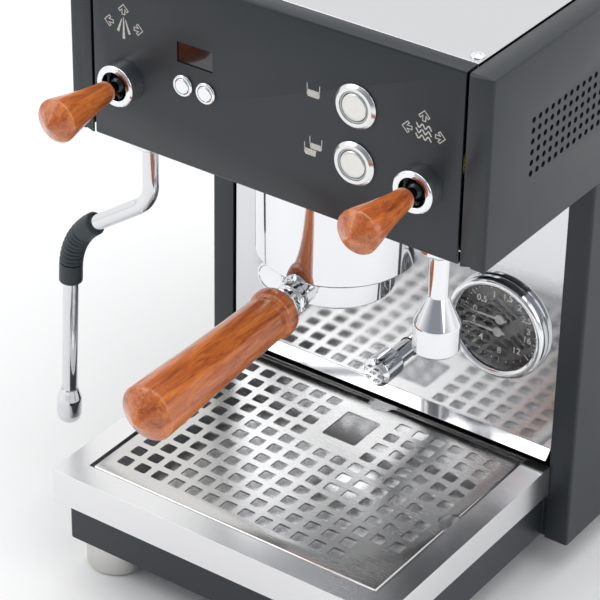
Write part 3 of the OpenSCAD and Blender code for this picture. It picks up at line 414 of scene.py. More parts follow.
def set_out_tree():
    """Sets one item out at every point, turned as the point's turn says."""
    group = bpy.data.node_groups.new("set_out", "GeometryNodeTree")
    for label, kind in (("Points", "NodeSocketGeometry"), ("Item", "NodeSocketObject"),
                        ("Finish", "NodeSocketMaterial")):
        group.interface.new_socket(label, in_out="INPUT", socket_type=kind)
    group.interface.new_socket("Pieces", in_out="OUTPUT", socket_type="NodeSocketGeometry")
    given = add_node(group, "NodeGroupInput").outputs
    item = add_node(group, "GeometryNodeObjectInfo", {"Object": given["Item"]})
    turn = add_node(group, "GeometryNodeInputNamedAttribute", {"Name": "turn"}, data_type="FLOAT_VECTOR")
    heading = add_node(group, "FunctionNodeEulerToRotation", {"Euler": turn.outputs[0]})
    placed = add_node(group, "GeometryNodeInstanceOnPoints", {
        "Points": given["Points"], "Instance": item.outputs["Geometry"], "Rotation": heading.outputs[0]})
    solid = add_node(group, "GeometryNodeRealizeInstances", {"Geometry": placed.outputs[0]})
    coated = add_node(group, "GeometryNodeSetMaterial", {
        "Geometry": solid.outputs[0], "Material": given["Finish"]})
    add_node(group, "NodeGroupOutput", {"Pieces": coated.outputs[0]})
    return group


set_out = set_out_tree()


def spaced(item, places, finish, turns=None):
    """Copies of a mesh at each place, each turned by the angles about X, Y and Z in turns."""
    points = bpy.data.meshes.new("places")
    points.from_pydata(places, [], [])
    turn = points.attributes.new("turn", "FLOAT_VECTOR", "POINT")
    for spot, angles in zip(turn.data, turns or [(0, 0, 0)] * len(places)):
        spot.vector = angles
    return smoothed(grown(set_out, points, {"Item": item, "Finish": finish}))


def softened(outline, soft, closed):
    """The outline with a small curve at each corner."""
    result = []
    for i, corner in enumerate(outline):
        before, after = outline[i - 1] - corner, outline[(i + 1) % len(outline)] - corner
        cut = min(soft, 0.42 * before.length, 0.42 * after.length)
        if (not closed and i in (0, len(outline) - 1)) or before.normalized().dot(after.normalized()) < -0.999:
            result.append(corner)
            continue
        first = corner + before.normalized() * cut
        last = corner + after.normalized() * cut
        result += [first.lerp(corner, t).lerp(corner.lerp(last, t), t) for t in (0, 0.25, 0.5, 0.75, 1)]
    return result


def turned(outline, at, along, soft=0.3, closed=False, steps=96):
    """A solid turned about an axis, from millimetre points (distance along it, radius). A closed
    outline makes a ring. Each corner is softened."""
    lathe = Vector(along).to_track_quat("Z", "X").to_matrix()
    work = bmesh.new()
    rings = []
    for distance, radius in softened([Vector(p) for p in outline], soft, closed):
        count = steps if radius > 1e-4 else 1
        rings.append([work.verts.new(Vector(at) + lathe @ Vector((
            radius * math.cos(2 * math.pi * k / steps), radius * math.sin(2 * math.pi * k / steps),
            distance)) * mm) for k in range(count)])
    for low, high in zip(rings, rings[1:] + rings[:1] if closed else rings[1:]):
        for k in range(steps):
            around = (low[k % len(low)], low[(k + 1) % len(low)], high[(k + 1) % len(high)], high[k % len(high)])
            corners = list(dict.fromkeys(around))
            if len(corners) > 2:
                work.faces.new(corners)
    bmesh.ops.recalc_face_normals(work, faces=work.faces)
    mesh = bpy.data.meshes.new("turned")
    work.to_mesh(mesh)
    work.free()
    return smoothed(mesh)


def metal(name, hex_colour, roughness, grain=(1, 1, 1), depth=0.0):
    """A bare metal. Grain is the stretch of its scratches along X, Y and Z, and depth their relief."""
    material, tree, place = start_finish(name)
    run = add_node(tree, "ShaderNodeMapping", {"Vector": place, "Scale": grain})
    scratches = add_node(tree, "ShaderNodeTexNoise", {"Vector": run.outputs[0], "Scale": 1 / (0.5 * mm),
                                                      "Detail": 4.0, "Roughness": 0.6})
    clouds = add_node(tree, "ShaderNodeTexNoise", {"Vector": place, "Scale": 1 / (45 * mm), "Detail": 2.0})
    fine = add_node(tree, "ShaderNodeMapRange", {"Value": scratches.outputs[0], "To Min": 0.8 * roughness,
                                                 "To Max": 1.2 * roughness})
    wiped = add_node(tree, "ShaderNodeMapRange", {"Value": clouds.outputs[0], "To Min": 0.85, "To Max": 1.15})
    sheen = add_node(tree, "ShaderNodeMath", {0: fine.outputs[0], 1: wiped.outputs[0]}, operation="MULTIPLY")
    relief = add_node(tree, "ShaderNodeBump", {"Height": scratches.outputs[0], "Strength": 0.3,
                                               "Distance": max(depth, 0.0001) * mm})
    close_finish(tree, {"Base Color": linear(hex_colour), "Metallic": 1.0, "Roughness": sheen.outputs[0],
                        "Normal": relief.outputs[0]})
    return material


# Turned aluminium: a satin face with faint rings, pale grey.
satin_aluminium = metal("satin_aluminium", "#d5d4d0", 0.38, (1, 1, 0.2), 0.01)
foot_lo, foot_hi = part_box("feet")
foot_r = 19.5
foot_h = (foot_hi.z - foot_lo.z) / mm
foot = turned([(0, 0), (0, foot_r - 1.5), (1.4, foot_r), (foot_h - 2.4, foot_r), (foot_h - 1.6, foot_r - 0.6),
               (foot_h, foot_r - 1.4), (foot_h, 0)], (0, 0, 0), (0, 0, 1))
foot_spots = [(x, y, foot_lo.z) for x in (foot_lo.x + foot_r * mm, foot_hi.x - foot_r * mm)
              for y in (foot_lo.y + foot_r * mm, foot_hi.y - foot_r * mm)]
fitted("turned_feet", spaced(foot, foot_spots, satin_aluminium), satin_aluminium, "housing", "foot_steel", "feet")

rear_lo, rear_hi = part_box("rear_panel")
screw_black = metal("black_oxide_screw", "#2a2a2c", 0.4)
back_screw = turned([(-0.6, 0), (-0.6, 3.2), (0.3, 3.1), (1.2, 2.3), (1.6, 1.3), (0.7, 1.2), (0.7, 0)],
                    (0, 0, 0), (0, 1, 0), 0.15, False, 32)
screw_spots = [(x * (rear_hi.x - 12 * mm), rear_hi.y, z) for x in (-1, 1)
               for z in (base_lo.z + 12 * mm, base_lo.z + 130 * mm, base_lo.z + 250 * mm, rear_hi.z - 12 * mm)]
fitted("back_screws", spaced(back_screw, screw_spots, screw_black), screw_black, "housing", "black_powder_coat")

# ---- Cup tray and tank lid ----
# Stainless sheet with a fine brushed face and folded-down edges. Four domed screws hold the tray.
brushed_steel = metal("brushed_stainless", "#cbccce", 0.2, (0.05, 1, 1), 0.006)
fitted("cup_tray_sheet", eased("cup_tray", 0.5 * mm, 3), brushed_steel, "housing", "brushed_steel", "cup_tray")
fitted("tank_lid_sheet", eased("tank_lid", 0.5 * mm, 3), brushed_steel, "tank_lid", "brushed_steel", "tank_lid")
# Polished chrome plate: it mirrors the room almost cleanly and its own edges show as bright lines.
chrome = metal("polished_chrome", "#e4e5e7", 0.06)
top_lo, top_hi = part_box("cup_tray_screws")
dome_r = 4.2
dome = turned([(0, 0), (0, dome_r), (0.6, dome_r - 0.1), (1.3, 3.1), (1.8, 1.7), (1.85, 1.3), (1.0, 1.2),
               (1.0, 0)], (0, 0, 0), (0, 0, 1), 0.25, False, 48)
dome_spots = [(x, y, top_lo.z) for x in (top_lo.x + dome_r * mm, top_hi.x - dome_r * mm)
              for y in (top_lo.y + dome_r * mm, top_hi.y - dome_r * mm)]
fitted("cup_tray_domes", spaced(dome, dome_spots, chrome), chrome, "housing", "chrome", "cup_tray_screws")

# ---- Splash sheet ----
# Mirror-polished stainless steel behind the group, with a lip bent forward over the drip tray.
mirror_steel = metal("mirror_stainless", "#d6d7d9", 0.09)
fitted("splash_mirror", eased("backsplash", 0.35 * mm, 3), mirror_steel, "housing", "mirror_steel", "backsplash")

# ---- Display ----
# A smoked acrylic window behind the panel, dark with a hint of red from the digits that are off.
smoked, tree, place = start_finish("smoked_acrylic")
depth = add_node(tree, "ShaderNodeTexNoise", {"Vector": place, "Scale": 1 / (9 * mm), "Detail": 1.0})
shade = add_node(tree, "ShaderNodeValToRGB", {"Fac": depth.outputs[0]})
shade.color_ramp.elements[0].color = linear("#0d0909")
shade.color_ramp.elements[1].color = linear("#1c0f0f")
close_finish(tree, {"Base Color": shade.outputs[0], "Roughness": 0.05, "Coat Weight": 0.6,
                    "Coat Roughness": 0.03})
fitted("display_acrylic", eased("display_window", 0.2 * mm), smoked, "housing", "display_window",
       "display_window")

# ---- Push-buttons ----
# Vandal-proof switches: a bevelled stainless bezel, a clear ring that lights up and a flat cap.
# The two small set buttons are polished caps in plain bezels.
button_steel = metal("satin_button_steel", "#dcdcdb", 0.16, (1, 1, 1), 0.004)
cap_steel = metal("brushed_button_cap", "#d9d8d4", 0.3, (0.06, 1, 1), 0.006)
# Frosted acrylic ring: milky pale grey, with a frosted shine that varies across it.
ring_acrylic, tree, place = start_finish("frosted_acrylic")
haze = add_node(tree, "ShaderNodeTexNoise", {"Vector": place, "Scale": 1 / (3 * mm), "Detail": 2.0})
milk = add_node(tree, "ShaderNodeMapRange", {"Value": haze.outputs[0], "To Min": 0.22, "To Max": 0.34})
close_finish(tree, {"Base Color": linear("#b9c0c3"), "Roughness": milk.outputs[0], "Coat Weight": 0.5,
                    "Coat Roughness": 0.08})
panel_y = panel_lo.y
for node, name in (("brew_button_one", "single_shot"), ("brew_button_two", "double_shot")):
    x, z = middle(node)
    at = (x, panel_y, z)
    front = (0, -1, 0)
    fitted(f"{name}_bezel", turned([(-10, 10.6), (-10, 9.6), (2.6, 9.6), (2.7, 11.6), (1.0, 13.5), (0, 13.5),
                                    (0, 10.6)], at, front, 0.25, True), button_steel, "housing", "brushed_steel",
           *(["button_bezels"] if name == "single_shot" else []))
    fitted(f"{name}_ring", turned([(-9, 9.55), (-9, 8.5), (1.9, 8.5), (2.3, 9.0), (1.9, 9.55)], at, front, 0.2,
                                  True), ring_acrylic, "housing", "ring_plastic",
           *(["light_rings"] if name == "single_shot" else []))
    fitted(f"{name}_cap", turned([(-8, 0), (-8, 8.2), (1.9, 8.2), (2.6, 7.5), (2.35, 6.4), (2.3, 0)], at, front,
                                 0.3), cap_steel, node, "brushed_steel", node)
for node, name in (("set_button_left", "minus"), ("set_button_right", "plus")):
    x, z = middle(node)
    at = (x, panel_y, z)
    fitted(f"{name}_bezel", turned([(-6.5, 5.8), (-6.5, 5.0), (1.7, 5.0), (1.8, 6.1), (1.1, 6.7), (0, 6.7),
                                    (0, 5.8)], at, front, 0.2, True), chrome, "housing", "chrome")
    fitted(f"{name}_cap", turned([(-5, 0), (-5, 4.7), (1.7, 4.7), (2.2, 4.2), (2.2, 0)], at, front, 0.25),
           chrome, node, "chrome", node)

# ---- Printed signs ----
# Pad-printed signs in light grey ink on the powder coat: arrows round three jets for steam, round
# three waves for water, and one cup or two beside the brew buttons.
ink_t = 0.06 * mm
ink_lift = 0.02 * mm


def inked(strokes, x, z):
    """A flat print on the front panel. A stroke is (points, width, closed) in millimetres from
    (x, z), and a stroke without a width is a filled shape. A pair of widths makes it taper."""
    work = bmesh.new()

    def spot(u, v):
        return work.verts.new((x + u * mm, panel_y - ink_lift, z + v * mm))

    for points, width, closed in strokes:
        if width is None:
            work.faces.new([spot(u, v) for u, v in points])
            continue
        line = [Vector(p) for p in points]
        count = len(line)
        left, right = [], []
        for i, point in enumerate(line):
            ahead = (line[(i + 1) % count] - point) if closed or i < count - 1 else (point - line[i - 1])
            behind = (point - line[i - 1]) if closed or i > 0 else ahead
            run = (ahead.normalized() + behind.normalized()).normalized()
            across = Vector((-run.y, run.x)) / max(run.dot(ahead.normalized()), 0.5)
            wide = width if isinstance(width, float) else width[0] + (width[1] - width[0]) * i / (count - 1)
            left.append(spot(*(point + across * wide / 2)))
            right.append(spot(*(point - across * wide / 2)))
        for i in range(count if closed else count - 1):
            k = (i + 1) % count
            work.faces.new((left[i], left[k], right[k], right[i]))
    bmesh.ops.recalc_face_normals(work, faces=work.faces)
    for face in work.faces:
        if face.normal.y > 0:
            face.normal_flip()
    mesh = bpy.data.meshes.new("inked")
    work.to_mesh(mesh)
    work.free()
    return with_modifiers(mesh, ("SOLIDIFY", {"thickness": ink_t, "offset": 1.0}))


# Screen ink: a thin matt film, slightly warm, thinner in places where the orange peel shows.
grey_ink, tree, place = start_finish("grey_screen_ink")
film = add_node(tree, "ShaderNodeTexNoise", {"Vector": place, "Scale": 1 / (0.6 * mm), "Detail": 2.0})
cover = add_node(tree, "ShaderNodeMapRange", {"Value": film.outputs[0], "From Min": 0.3, "From Max": 0.6,
                                              "To Min": 0.0, "To Max": 1.0})
tone = add_node(tree, "ShaderNodeMix", {0: cover.outputs[0], 6: linear("#a09c96"), 7: linear("#cfccc6")},
                data_type="RGBA")
close_finish(tree, {"Base Color": tone.outputs[2], "Roughness": 0.55})
arrow = [(0, 3.1), (3.5, -0.3), (2.5, -1.4), (1.0, 0.1), (1.0, -3.1), (-1.0, -3.1), (-1.0, 0.1), (-2.5, -1.4),
         (-3.5, -0.3)]
arrow_mesh = inked([(arrow, 0.55, True)], 0, -panel_y)
arrow_mesh.transform(Matrix.Translation((0, -panel_y, panel_y)))
steam_at, water_at = (-103.2, 363.0), (100.8, 360.3)
arrow_spots, arrow_turns = [], []
for x, z in (steam_at, water_at):
    for dx, dz, angle in ((-10.6, 0, -90), (10.6, 0, 90), (0, 9.8, 0)):
        arrow_spots.append(((x + dx) * mm, panel_y, (z + dz) * mm))
        arrow_turns.append((0, math.radians(angle), 0))
fitted("sign_arrows", spaced(arrow_mesh, arrow_spots, grey_ink, arrow_turns), grey_ink, "housing",
       "needle_white")
jets = [([(0, 5.0), (0, -8.6)], (0.5, 1.9), False), ([(-1.3, 3.6), (-4.2, -4.8)], (0.5, 1.8), False),
        ([(1.3, 3.6), (4.2, -4.8)], (0.5, 1.8), False)]
fitted("sign_steam", inked(jets, steam_at[0] * mm, steam_at[1] * mm), grey_ink, "housing", "needle_white")
wave_steps = 40
waves = [([(-5.1 + 10.2 * i / wave_steps, 1.15 * math.cos(5 * math.pi * i / wave_steps) + drop)
           for i in range(wave_steps + 1)], 0.8, False) for drop in (3.3, 0, -3.3)]
fitted("sign_water", inked(waves, water_at[0] * mm, water_at[1] * mm), grey_ink, "housing", "needle_white")


# A cup is a thin wall at each side of its filled lower half, and a second cup hides part of the first.
one_cup = [([(-4.2, 4.0), (-4.0, -3.2)], 0.5, False), ([(4.2, 4.0), (4.0, -3.2)], 0.5, False),
           ([(-4.2, 0.3), (4.2, 0.3), (3.6, -4.0), (-3.6, -4.0)], None, False)]
two_cups = [([(-2.2, 5.8), (-2.1, 1.0)], 0.5, False), ([(5.9, 5.8), (5.7, -0.8)], 0.5, False),
            ([(-2.3, 1.9), (5.9, 1.9), (5.3, -1.6), (-1.6, -1.6)], None, False),
            ([(-5.7, 1.3), (-5.5, -5.2)], 0.5, False),
            ([(-5.7, -2.2), (2.3, -2.2), (1.7, -6.1), (-5.1, -6.1)], None, False)]
fitted("sign_one_cup", inked(one_cup, 28.7 * mm, 362.3 * mm), grey_ink, "housing", "needle_white")
fitted("sign_two_cups", inked(two_cups, 29.2 * mm, 328 * mm), grey_ink, "housing", "needle_white")

# ---- Valve levers ----
# Joystick levers: a thick chrome bezel, a black slotted yoke and ball inside, a dark rod and a
# handle turned from oiled bubinga, widest at its end.


def hardwood(name, pale, mid, dark):
    """Oiled and varnished hardwood with its grain along Y: long dark streaks, fine pores and a
    hard clear coat that gives it a glassy highlight."""
    material, tree, place = start_finish(name)
    long_run = add_node(tree, "ShaderNodeMapping", {"Vector": place, "Scale": (1, 0.11, 1)})
    drift = add_node(tree, "ShaderNodeTexNoise", {"Vector": long_run.outputs[0], "Scale": 1 / (9 * mm),
                                                  "Detail": 3.0, "Distortion": 0.6})
    rings = add_node(tree, "ShaderNodeTexNoise", {"Vector": long_run.outputs[0], "Scale": 1 / (3.2 * mm),
                                                  "Detail": 5.0, "Roughness": 0.65, "Distortion": 1.2})
    pore_run = add_node(tree, "ShaderNodeMapping", {"Vector": place, "Scale": (1, 0.06, 1)})
    pores = add_node(tree, "ShaderNodeTexNoise", {"Vector": pore_run.outputs[0], "Scale": 1 / (0.55 * mm),
                                                  "Detail": 2.0})
    mixed = add_node(tree, "ShaderNodeMix", {0: 0.45, 2: rings.outputs[0], 3: drift.outputs[0]},
                     data_type="FLOAT")
    grain = add_node(tree, "ShaderNodeValToRGB", {"Fac": mixed.outputs[0]})
    ramp = grain.color_ramp
    ramp.elements[0].position, ramp.elements[0].color = 0.33, linear(dark)
    ramp.elements[1].position, ramp.elements[1].color = 0.66, linear(pale)
    middle_stop = ramp.elements.new(0.47)
    middle_stop.color = linear(mid)
    specks = add_node(tree, "ShaderNodeMapRange", {"Value": pores.outputs[0], "From Min": 0.28,
                                                   "From Max": 0.42, "To Min": 0.55, "To Max": 1.0})
    flecked = add_node(tree, "ShaderNodeMix", {0: 1.0, 6: grain.outputs[0], 7: specks.outputs[0]},
                       data_type="RGBA", blend_type="MULTIPLY")
    relief = add_node(tree, "ShaderNodeBump", {"Height": pores.outputs[0], "Strength": 0.2,
                                               "Distance": 0.05 * mm})
    close_finish(tree, {"Base Color": flecked.outputs[2], "Roughness": 0.42, "Normal": relief.outputs[0],
                        "Coat Weight": 0.7, "Coat Roughness": 0.12})
    return material


bubinga = hardwood("oiled_bubinga", "#db8038", "#b0561a", "#6a2d0e")
black_nylon, tree, place = start_finish("black_nylon")
mould = add_node(tree, "ShaderNodeTexNoise", {"Vector": place, "Scale": 1 / (0.8 * mm), "Detail": 3.0})
matt = add_node(tree, "ShaderNodeMapRange", {"Value": mould.outputs[0], "To Min": 0.3, "To Max": 0.42})
close_finish(tree, {"Base Color": linear("#17181a"), "Roughness": matt.outputs[0]})
dark_steel = metal("blackened_steel", "#3b3d40", 0.28)
ball_r, rod_r, rod_l, tail_l = 6.5, 3.1, 24, 13
ball_arc = [(-ball_r * math.cos(a), ball_r * math.sin(a)) for a in
            [math.radians(17.9 + i * (151.4 - 17.9) / 16) for i in range(17)]]
flare = 46
lobe = turned([(-1.4, 0), (-1.4, 1.3), (-0.7, 1.9), (0.9, 1.9), (1.4, 1.2), (1.4, 0)], (0, 0, 0), (0, 0, 1), 0.3, False,
              24)
lobe_angles = [math.radians(20 + 72 * i) for i in range(5)]
handle_outline = [(0, 0), (0, 5.2), (1.2, 6.3), (0.2 * flare, 7.1), (0.35 * flare, 8.0), (0.5 * flare, 9.1),
                  (0.65 * flare, 10.3), (0.8 * flare, 11.7), (0.9 * flare, 12.6), (flare - 0.4, 13.2),
                  (flare + 0.7, 12.7), (54.3, 0.9), (55, 0)]
for side in ("steam", "water"):
    lo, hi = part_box(f"{side}_lever_yoke")
    at = ((lo.x + hi.x) / 2, (lo.y + hi.y) / 2, (lo.z + hi.z) / 2)
    front = (0, -1, 0)
    mount = (at[0], panel_y, at[2])
    fitted(f"{side}_bezel", turned([(-6, 9.9), (-6, 9.2), (0, 9.2), (0, 10.2), (9.6, 10.2), (9.6, 9.2),
                                    (11.4, 8.7), (12, 9.2), (12, 11.9), (10.9, 12.9), (0, 12.9), (0, 9.9)],
                                   mount, front, 0.4, True),
           chrome, "housing", "chrome", *(["lever_bezels"] if side == "steam" else []))
    fitted(f"{side}_yoke_ring", turned([(-2, 6.9), (-2, 9.0), (2, 9.0), (2.6, 8.2), (2, 6.9)], at, front, 0.25,
                                       True), black_nylon, f"{side}_lever_yoke", "black_plastic",
           f"{side}_lever_yoke")
    lobes = [(at[0] + 7.4 * mm * math.sin(a), at[1] - 2.9 * mm, at[2] + 7.4 * mm * math.cos(a)) for a in lobe_angles]
    fitted(f"{side}_yoke_lobes", spaced(lobe, lobes, black_nylon, [(0, a, 0) for a in lobe_angles]), black_nylon,
           f"{side}_lever_yoke", "black_plastic")
    rod = [(-tail_l, 0), (-tail_l, 2), (-6.3, 2)] + ball_arc + [(rod_l, rod_r), (rod_l, 0)]
    fitted(f"{side}_ball_and_rod", turned(rod, at, front, 0.1), dark_steel, f"{side}_lever", "black_plastic",
           f"{side}_lever_rod")
    grip_at = (at[0], at[1] - 12 * mm, at[2])
    fitted(f"{side}_handle", turned(handle_outline, grip_at, front, 0.7), bubinga, f"{side}_lever", "wood",
           f"{side}_lever_handle")

# ---- Group ----
# The round cover is drawn from sheet and chromed. The brass head, the steel ring that locks the
# portafilter, the seal and the shower screen sit inside it.
cover_lo, cover_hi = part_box("group_cover")
group_at = ((cover_lo.x + cover_hi.x) / 2, (cover_lo.y + cover_hi.y) / 2, cover_lo.z)
cover_r = (cover_hi.x - cover_lo.x) / 2 / mm
cover_h = (cover_hi.z - cover_lo.z) / mm
inner_lip = 44
fitted("chrome_cover", turned([(0, inner_lip), (0, cover_r - 1), (1.2, cover_r), (cover_h, cover_r),
                               (cover_h, cover_r - 1.5), (1.8, cover_r - 1.5), (1.5, inner_lip)],
                              group_at, (0, 0, 1), 0.6, True, 160), chrome, "housing", "chrome", "group_cover")

# ---- Portafilter ----
# Forged and chromed brass cup with a hexagonal neck and a boss for the spout, a pressed basket,
# and a handle of the same wood with a bead at its neck and a shallow cone at its end.
pf_lo, pf_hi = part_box("portafilter_body")
pf_r, pf_in_r = 35, 30.6
cup_at = (group_at[0], group_at[1], pf_lo.z)
cup_h = (pf_hi.z - pf_lo.z) / mm
fitted("portafilter_cup", turned([(0, 28.6), (0, pf_r - 2), (1.6, pf_r), (cup_h, pf_r), (cup_h, pf_in_r),
                                  (2, pf_in_r), (2, 28.6)], cup_at, (0, 0, 1), 0.7, True, 128), chrome,
       "portafilter", "chrome", "portafilter_body")
droop = math.radians(2.4)
handle_line = (0, -math.cos(droop), -math.sin(droop))
neck_at = (group_at[0], group_at[1] - pf_r * mm, pf_lo.z + 10.5 * mm)
fitted("portafilter_neck", turned([(-4, 0), (-4, 8.2), (7.5, 8.2), (8.5, 9.6), (13.5, 9.6), (14.5, 8.2),
                                   (18.6, 8.2), (21.8, 11.8), (22.2, 12.5), (24.2, 12.5), (24.2, 0)], neck_at,
                                  handle_line, 0.4, False, 96), chrome, "portafilter", "chrome")
hexagon = turned([(0, 0), (0, 9.4), (0.8, 10.0), (6.6, 10.0), (7.4, 9.4), (7.4, 0)],
                 Vector(neck_at) + Vector(handle_line) * 7.3 * mm, handle_line, 0.25, False, 6)
fitted("portafilter_hexagon", with_modifiers(smoothed(hexagon, 20), rounded_edges(0.35 * mm, 3, 20)), chrome,
       "portafilter", "chrome")
boss_at = (group_at[0] - 24 * mm, group_at[1] - 18 * mm, neck_at[2])
fitted("spout_boss", turned([(0, 0), (0, 9.8), (17.0, 9.8), (18, 9.0), (18, 8.2), (17.3, 7.8), (17.3, 0)],
                            boss_at, (0, -1, 0), 0.4), chrome, "portafilter", "chrome")


def ear(middle_angle):
    """One locking ear of the portafilter: a curved block on its rim."""
    work = bmesh.new()
    rings = []
    ear_steps = 12
    for k in range(ear_steps + 1):
        a = math.radians(middle_angle - 14 + 28 * k / ear_steps)
        rings.append([work.verts.new((group_at[0] + r * mm * math.cos(a), group_at[1] + r * mm * math.sin(a),
                                      pf_hi.z - z * mm)) for r, z in ((34, 4), (39.2, 4), (39.2, 0), (34, 0))])
    for low, high in zip(rings, rings[1:]):
        for i in range(4):
            work.faces.new((low[i], low[(i + 1) % 4], high[(i + 1) % 4], high[i]))
    work.faces.new(rings[0])
    work.faces.new(rings[-1])
    bmesh.ops.recalc_face_normals(work, faces=work.faces)
    mesh = bpy.data.meshes.new("ear")
    work.to_mesh(mesh)
    work.free()
    return with_modifiers(smoothed(mesh), rounded_edges(0.5 * mm, 3))


for label, angle in (("ear_right", 0), ("ear_left", 180)):
    fitted(f"portafilter_{label}", ear(angle), chrome, "portafilter", "chrome")
basket_lo, basket_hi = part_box("filter_basket")
basket_h = (basket_hi.z - basket_lo.z) / mm
pressed_steel = metal("pressed_steel", "#cfd0d2", 0.16, (1, 1, 0.2), 0.004)
fitted("pressed_basket", turned([(0, 0), (0, 27.6), (2, 29.9), (basket_h - 1, 29.9), (basket_h - 1, 34.6),
                                 (basket_h, 34.6), (basket_h, 29.2), (2.3, 29.2), (0.7, 27.2), (0.7, 0)],
                                (group_at[0], group_at[1], basket_lo.z), (0, 0, 1), 0.4), pressed_steel,
       "portafilter", "brushed_steel", "filter_basket")
l, r = 138, 17.6
handle_at = Vector(neck_at) + Vector(handle_line) * 24.2 * mm
fitted("portafilter_grip", turned([(0, 0), (0, r - 5), (1.5, r - 2.8), (5, r - 1.7), (8.6, r - 1.8),
                                   (10.4, r - 2.6), (11.4, r - 3.9), (12.4, r - 3.9), (16, r - 3.4),
                                   (0.3 * l, r - 3.0), (0.6 * l, r - 1.7), (0.8 * l, r - 0.5), (l - 14, r - 0.1),
                                   (l - 12.6, r - 0.1), (l - 11.2, r - 0.9), (l - 1, 1.6), (l, 0)],
                                  handle_at, handle_line, 1.4), bubinga, "portafilter", "wood",
       "portafilter_handle")

# ---- Steam and water wands ----
# Chromed nuts under the head floor hold polished balls. The steam tube is bent stainless with a
# ribbed rubber sleeve to hold it by and a screwed-on tip. The water wand is short and straight.


def sweep_tree():
    """Draws a round bar along a line of points, as thick as each point's girth."""
    group = bpy.data.node_groups.new("drawn_bar", "GeometryNodeTree")
    for label, kind in (("Route", "NodeSocketGeometry"), ("Sides", "NodeSocketInt"),
                        ("Finish", "NodeSocketMaterial")):
        group.interface.new_socket(label, in_out="INPUT", socket_type=kind)
    group.interface.new_socket("Bar", in_out="OUTPUT", socket_type="NodeSocketGeometry")
    given = add_node(group, "NodeGroupInput").outputs
    line = add_node(group, "GeometryNodeMeshToCurve", {"Mesh": given["Route"]})
    girth = add_node(group, "GeometryNodeInputNamedAttribute", {"Name": "girth"}, data_type="FLOAT")
    ring = add_node(group, "GeometryNodeCurvePrimitiveCircle", {"Resolution": given["Sides"], "Radius": 1.0})
    bar = add_node(group, "GeometryNodeCurveToMesh", {
        "Curve": line.outputs[0], "Profile Curve": ring.outputs[0], "Scale": girth.outputs[0],
        "Fill Caps": True})
    solid = add_node(group, "GeometryNodeRealizeInstances", {"Geometry": bar.outputs[0]})
    coated = add_node(group, "GeometryNodeSetMaterial", {
        "Geometry": solid.outputs[0], "Material": given["Finish"]})
    add_node(group, "NodeGroupOutput", {"Bar": coated.outputs[0]})
    return group


drawn_bar = sweep_tree()


def drawn(route, girths, finish, sides=40):
    """A round bar along a route, with a radius for each point."""
    line = bpy.data.meshes.new("route")
    line.from_pydata(route, [(i, i + 1) for i in range(len(route) - 1)], [])
    girth = line.attributes.new("girth", "FLOAT", "POINT")
    for spot, value in zip(girth.data, girths):
        spot.value = value
    mesh = grown(drawn_bar, line, {"Sides": sides, "Finish": finish})
    work = bmesh.new()
    work.from_mesh(mesh)
    bmesh.ops.recalc_face_normals(work, faces=work.faces)
    work.to_mesh(mesh)
    work.free()
    return smoothed(mesh, 50)


def pivot(joint):
    """Where a joint of the record turns."""
    return next(Vector(j["pos_m"]) for j in frame["record"]["behaviour"]["joints"] if j["name"] == joint)


def rounded_route(corners, radii, spacing):
    """A route of straight legs with a round bend at each inner corner, as evenly spaced points."""
    line = [corners[0]]
    for before, corner, after, radius in zip(corners, corners[1:], corners[2:], radii):
        toward, away = (before - corner).normalized(), (after - corner).normalized()
        bend = math.pi - toward.angle(away)
        cut = radius * math.tan(bend / 2)
        centre = corner + (toward + away).normalized() * radius / math.cos(bend / 2)
        start, end = corner + toward * cut - centre, corner + away * cut - centre
        for i in range(25):
            line.append(centre + (start * math.sin(bend * (1 - i / 24)) + end * math.sin(bend * i / 24))
                        / math.sin(bend))
    line.append(corners[-1])
    lengths = [0]
    for a, b in zip(line, line[1:]):
        lengths.append(lengths[-1] + (b - a).length)
    count = round(lengths[-1] / spacing)
    route = []
    leg = 0
    for i in range(count + 1):
        along = lengths[-1] * i / count
        while leg < len(line) - 2 and lengths[leg + 1] < along:
            leg += 1
        share = (along - lengths[leg]) / (lengths[leg + 1] - lengths[leg])
        route.append(line[leg].lerp(line[leg + 1], min(share, 1)))
    return route, lengths[-1]


steam_ball, water_ball = pivot("steam_wand_swivel"), pivot("water_wand_tilt")
down = (0, 0, -1)
nut_top = (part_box("wand_nuts")[1].z - steam_ball.z) / mm
nut_outline = [(-nut_top, 6.9), (-nut_top, 8.5), (1.5 - nut_top, 8.5), (1.5 - nut_top, 9.3), (3 - nut_top, 9.3),
               (3 - nut_top, 12.4), (4.3, 12.4), (5.5, 11.3), (5.5, 6.75), (3.3, 6.75), (2.6, 9.3),
               (3.4 - nut_top, 9.3), (3.2 - nut_top, 7.7)]
nuts = [turned(nut_outline, ball, down, 0.35, True) for ball in (steam_ball, water_ball)]
for name, nut, nodes in (("steam_nut", nuts[0], ["wand_nuts"]), ("water_nut", nuts[1], [])):
    fitted(name, nut, chrome, "housing", "chrome", *nodes)
# PTFE: waxy white plastic, soft in its shine.
ptfe, tree, place = start_finish("ptfe")
waxy = add_node(tree, "ShaderNodeTexNoise", {"Vector": place, "Scale": 1 / (2 * mm), "Detail": 2.0})
soft_sheen = add_node(tree, "ShaderNodeMapRange", {"Value": waxy.outputs[0], "To Min": 0.4, "To Max": 0.55})
close_finish(tree, {"Base Color": linear("#e9e6df"), "Roughness": soft_sheen.outputs[0]})
fitted("steam_seat", turned([(-2.5, 7.22), (-2.5, 9.15), (2.5, 9.15), (2.5, 7.22), (0, 7.68)], steam_ball, down, 0.2, True),
       ptfe, "steam_swivel", "seat_plastic", "steam_wand_seat")

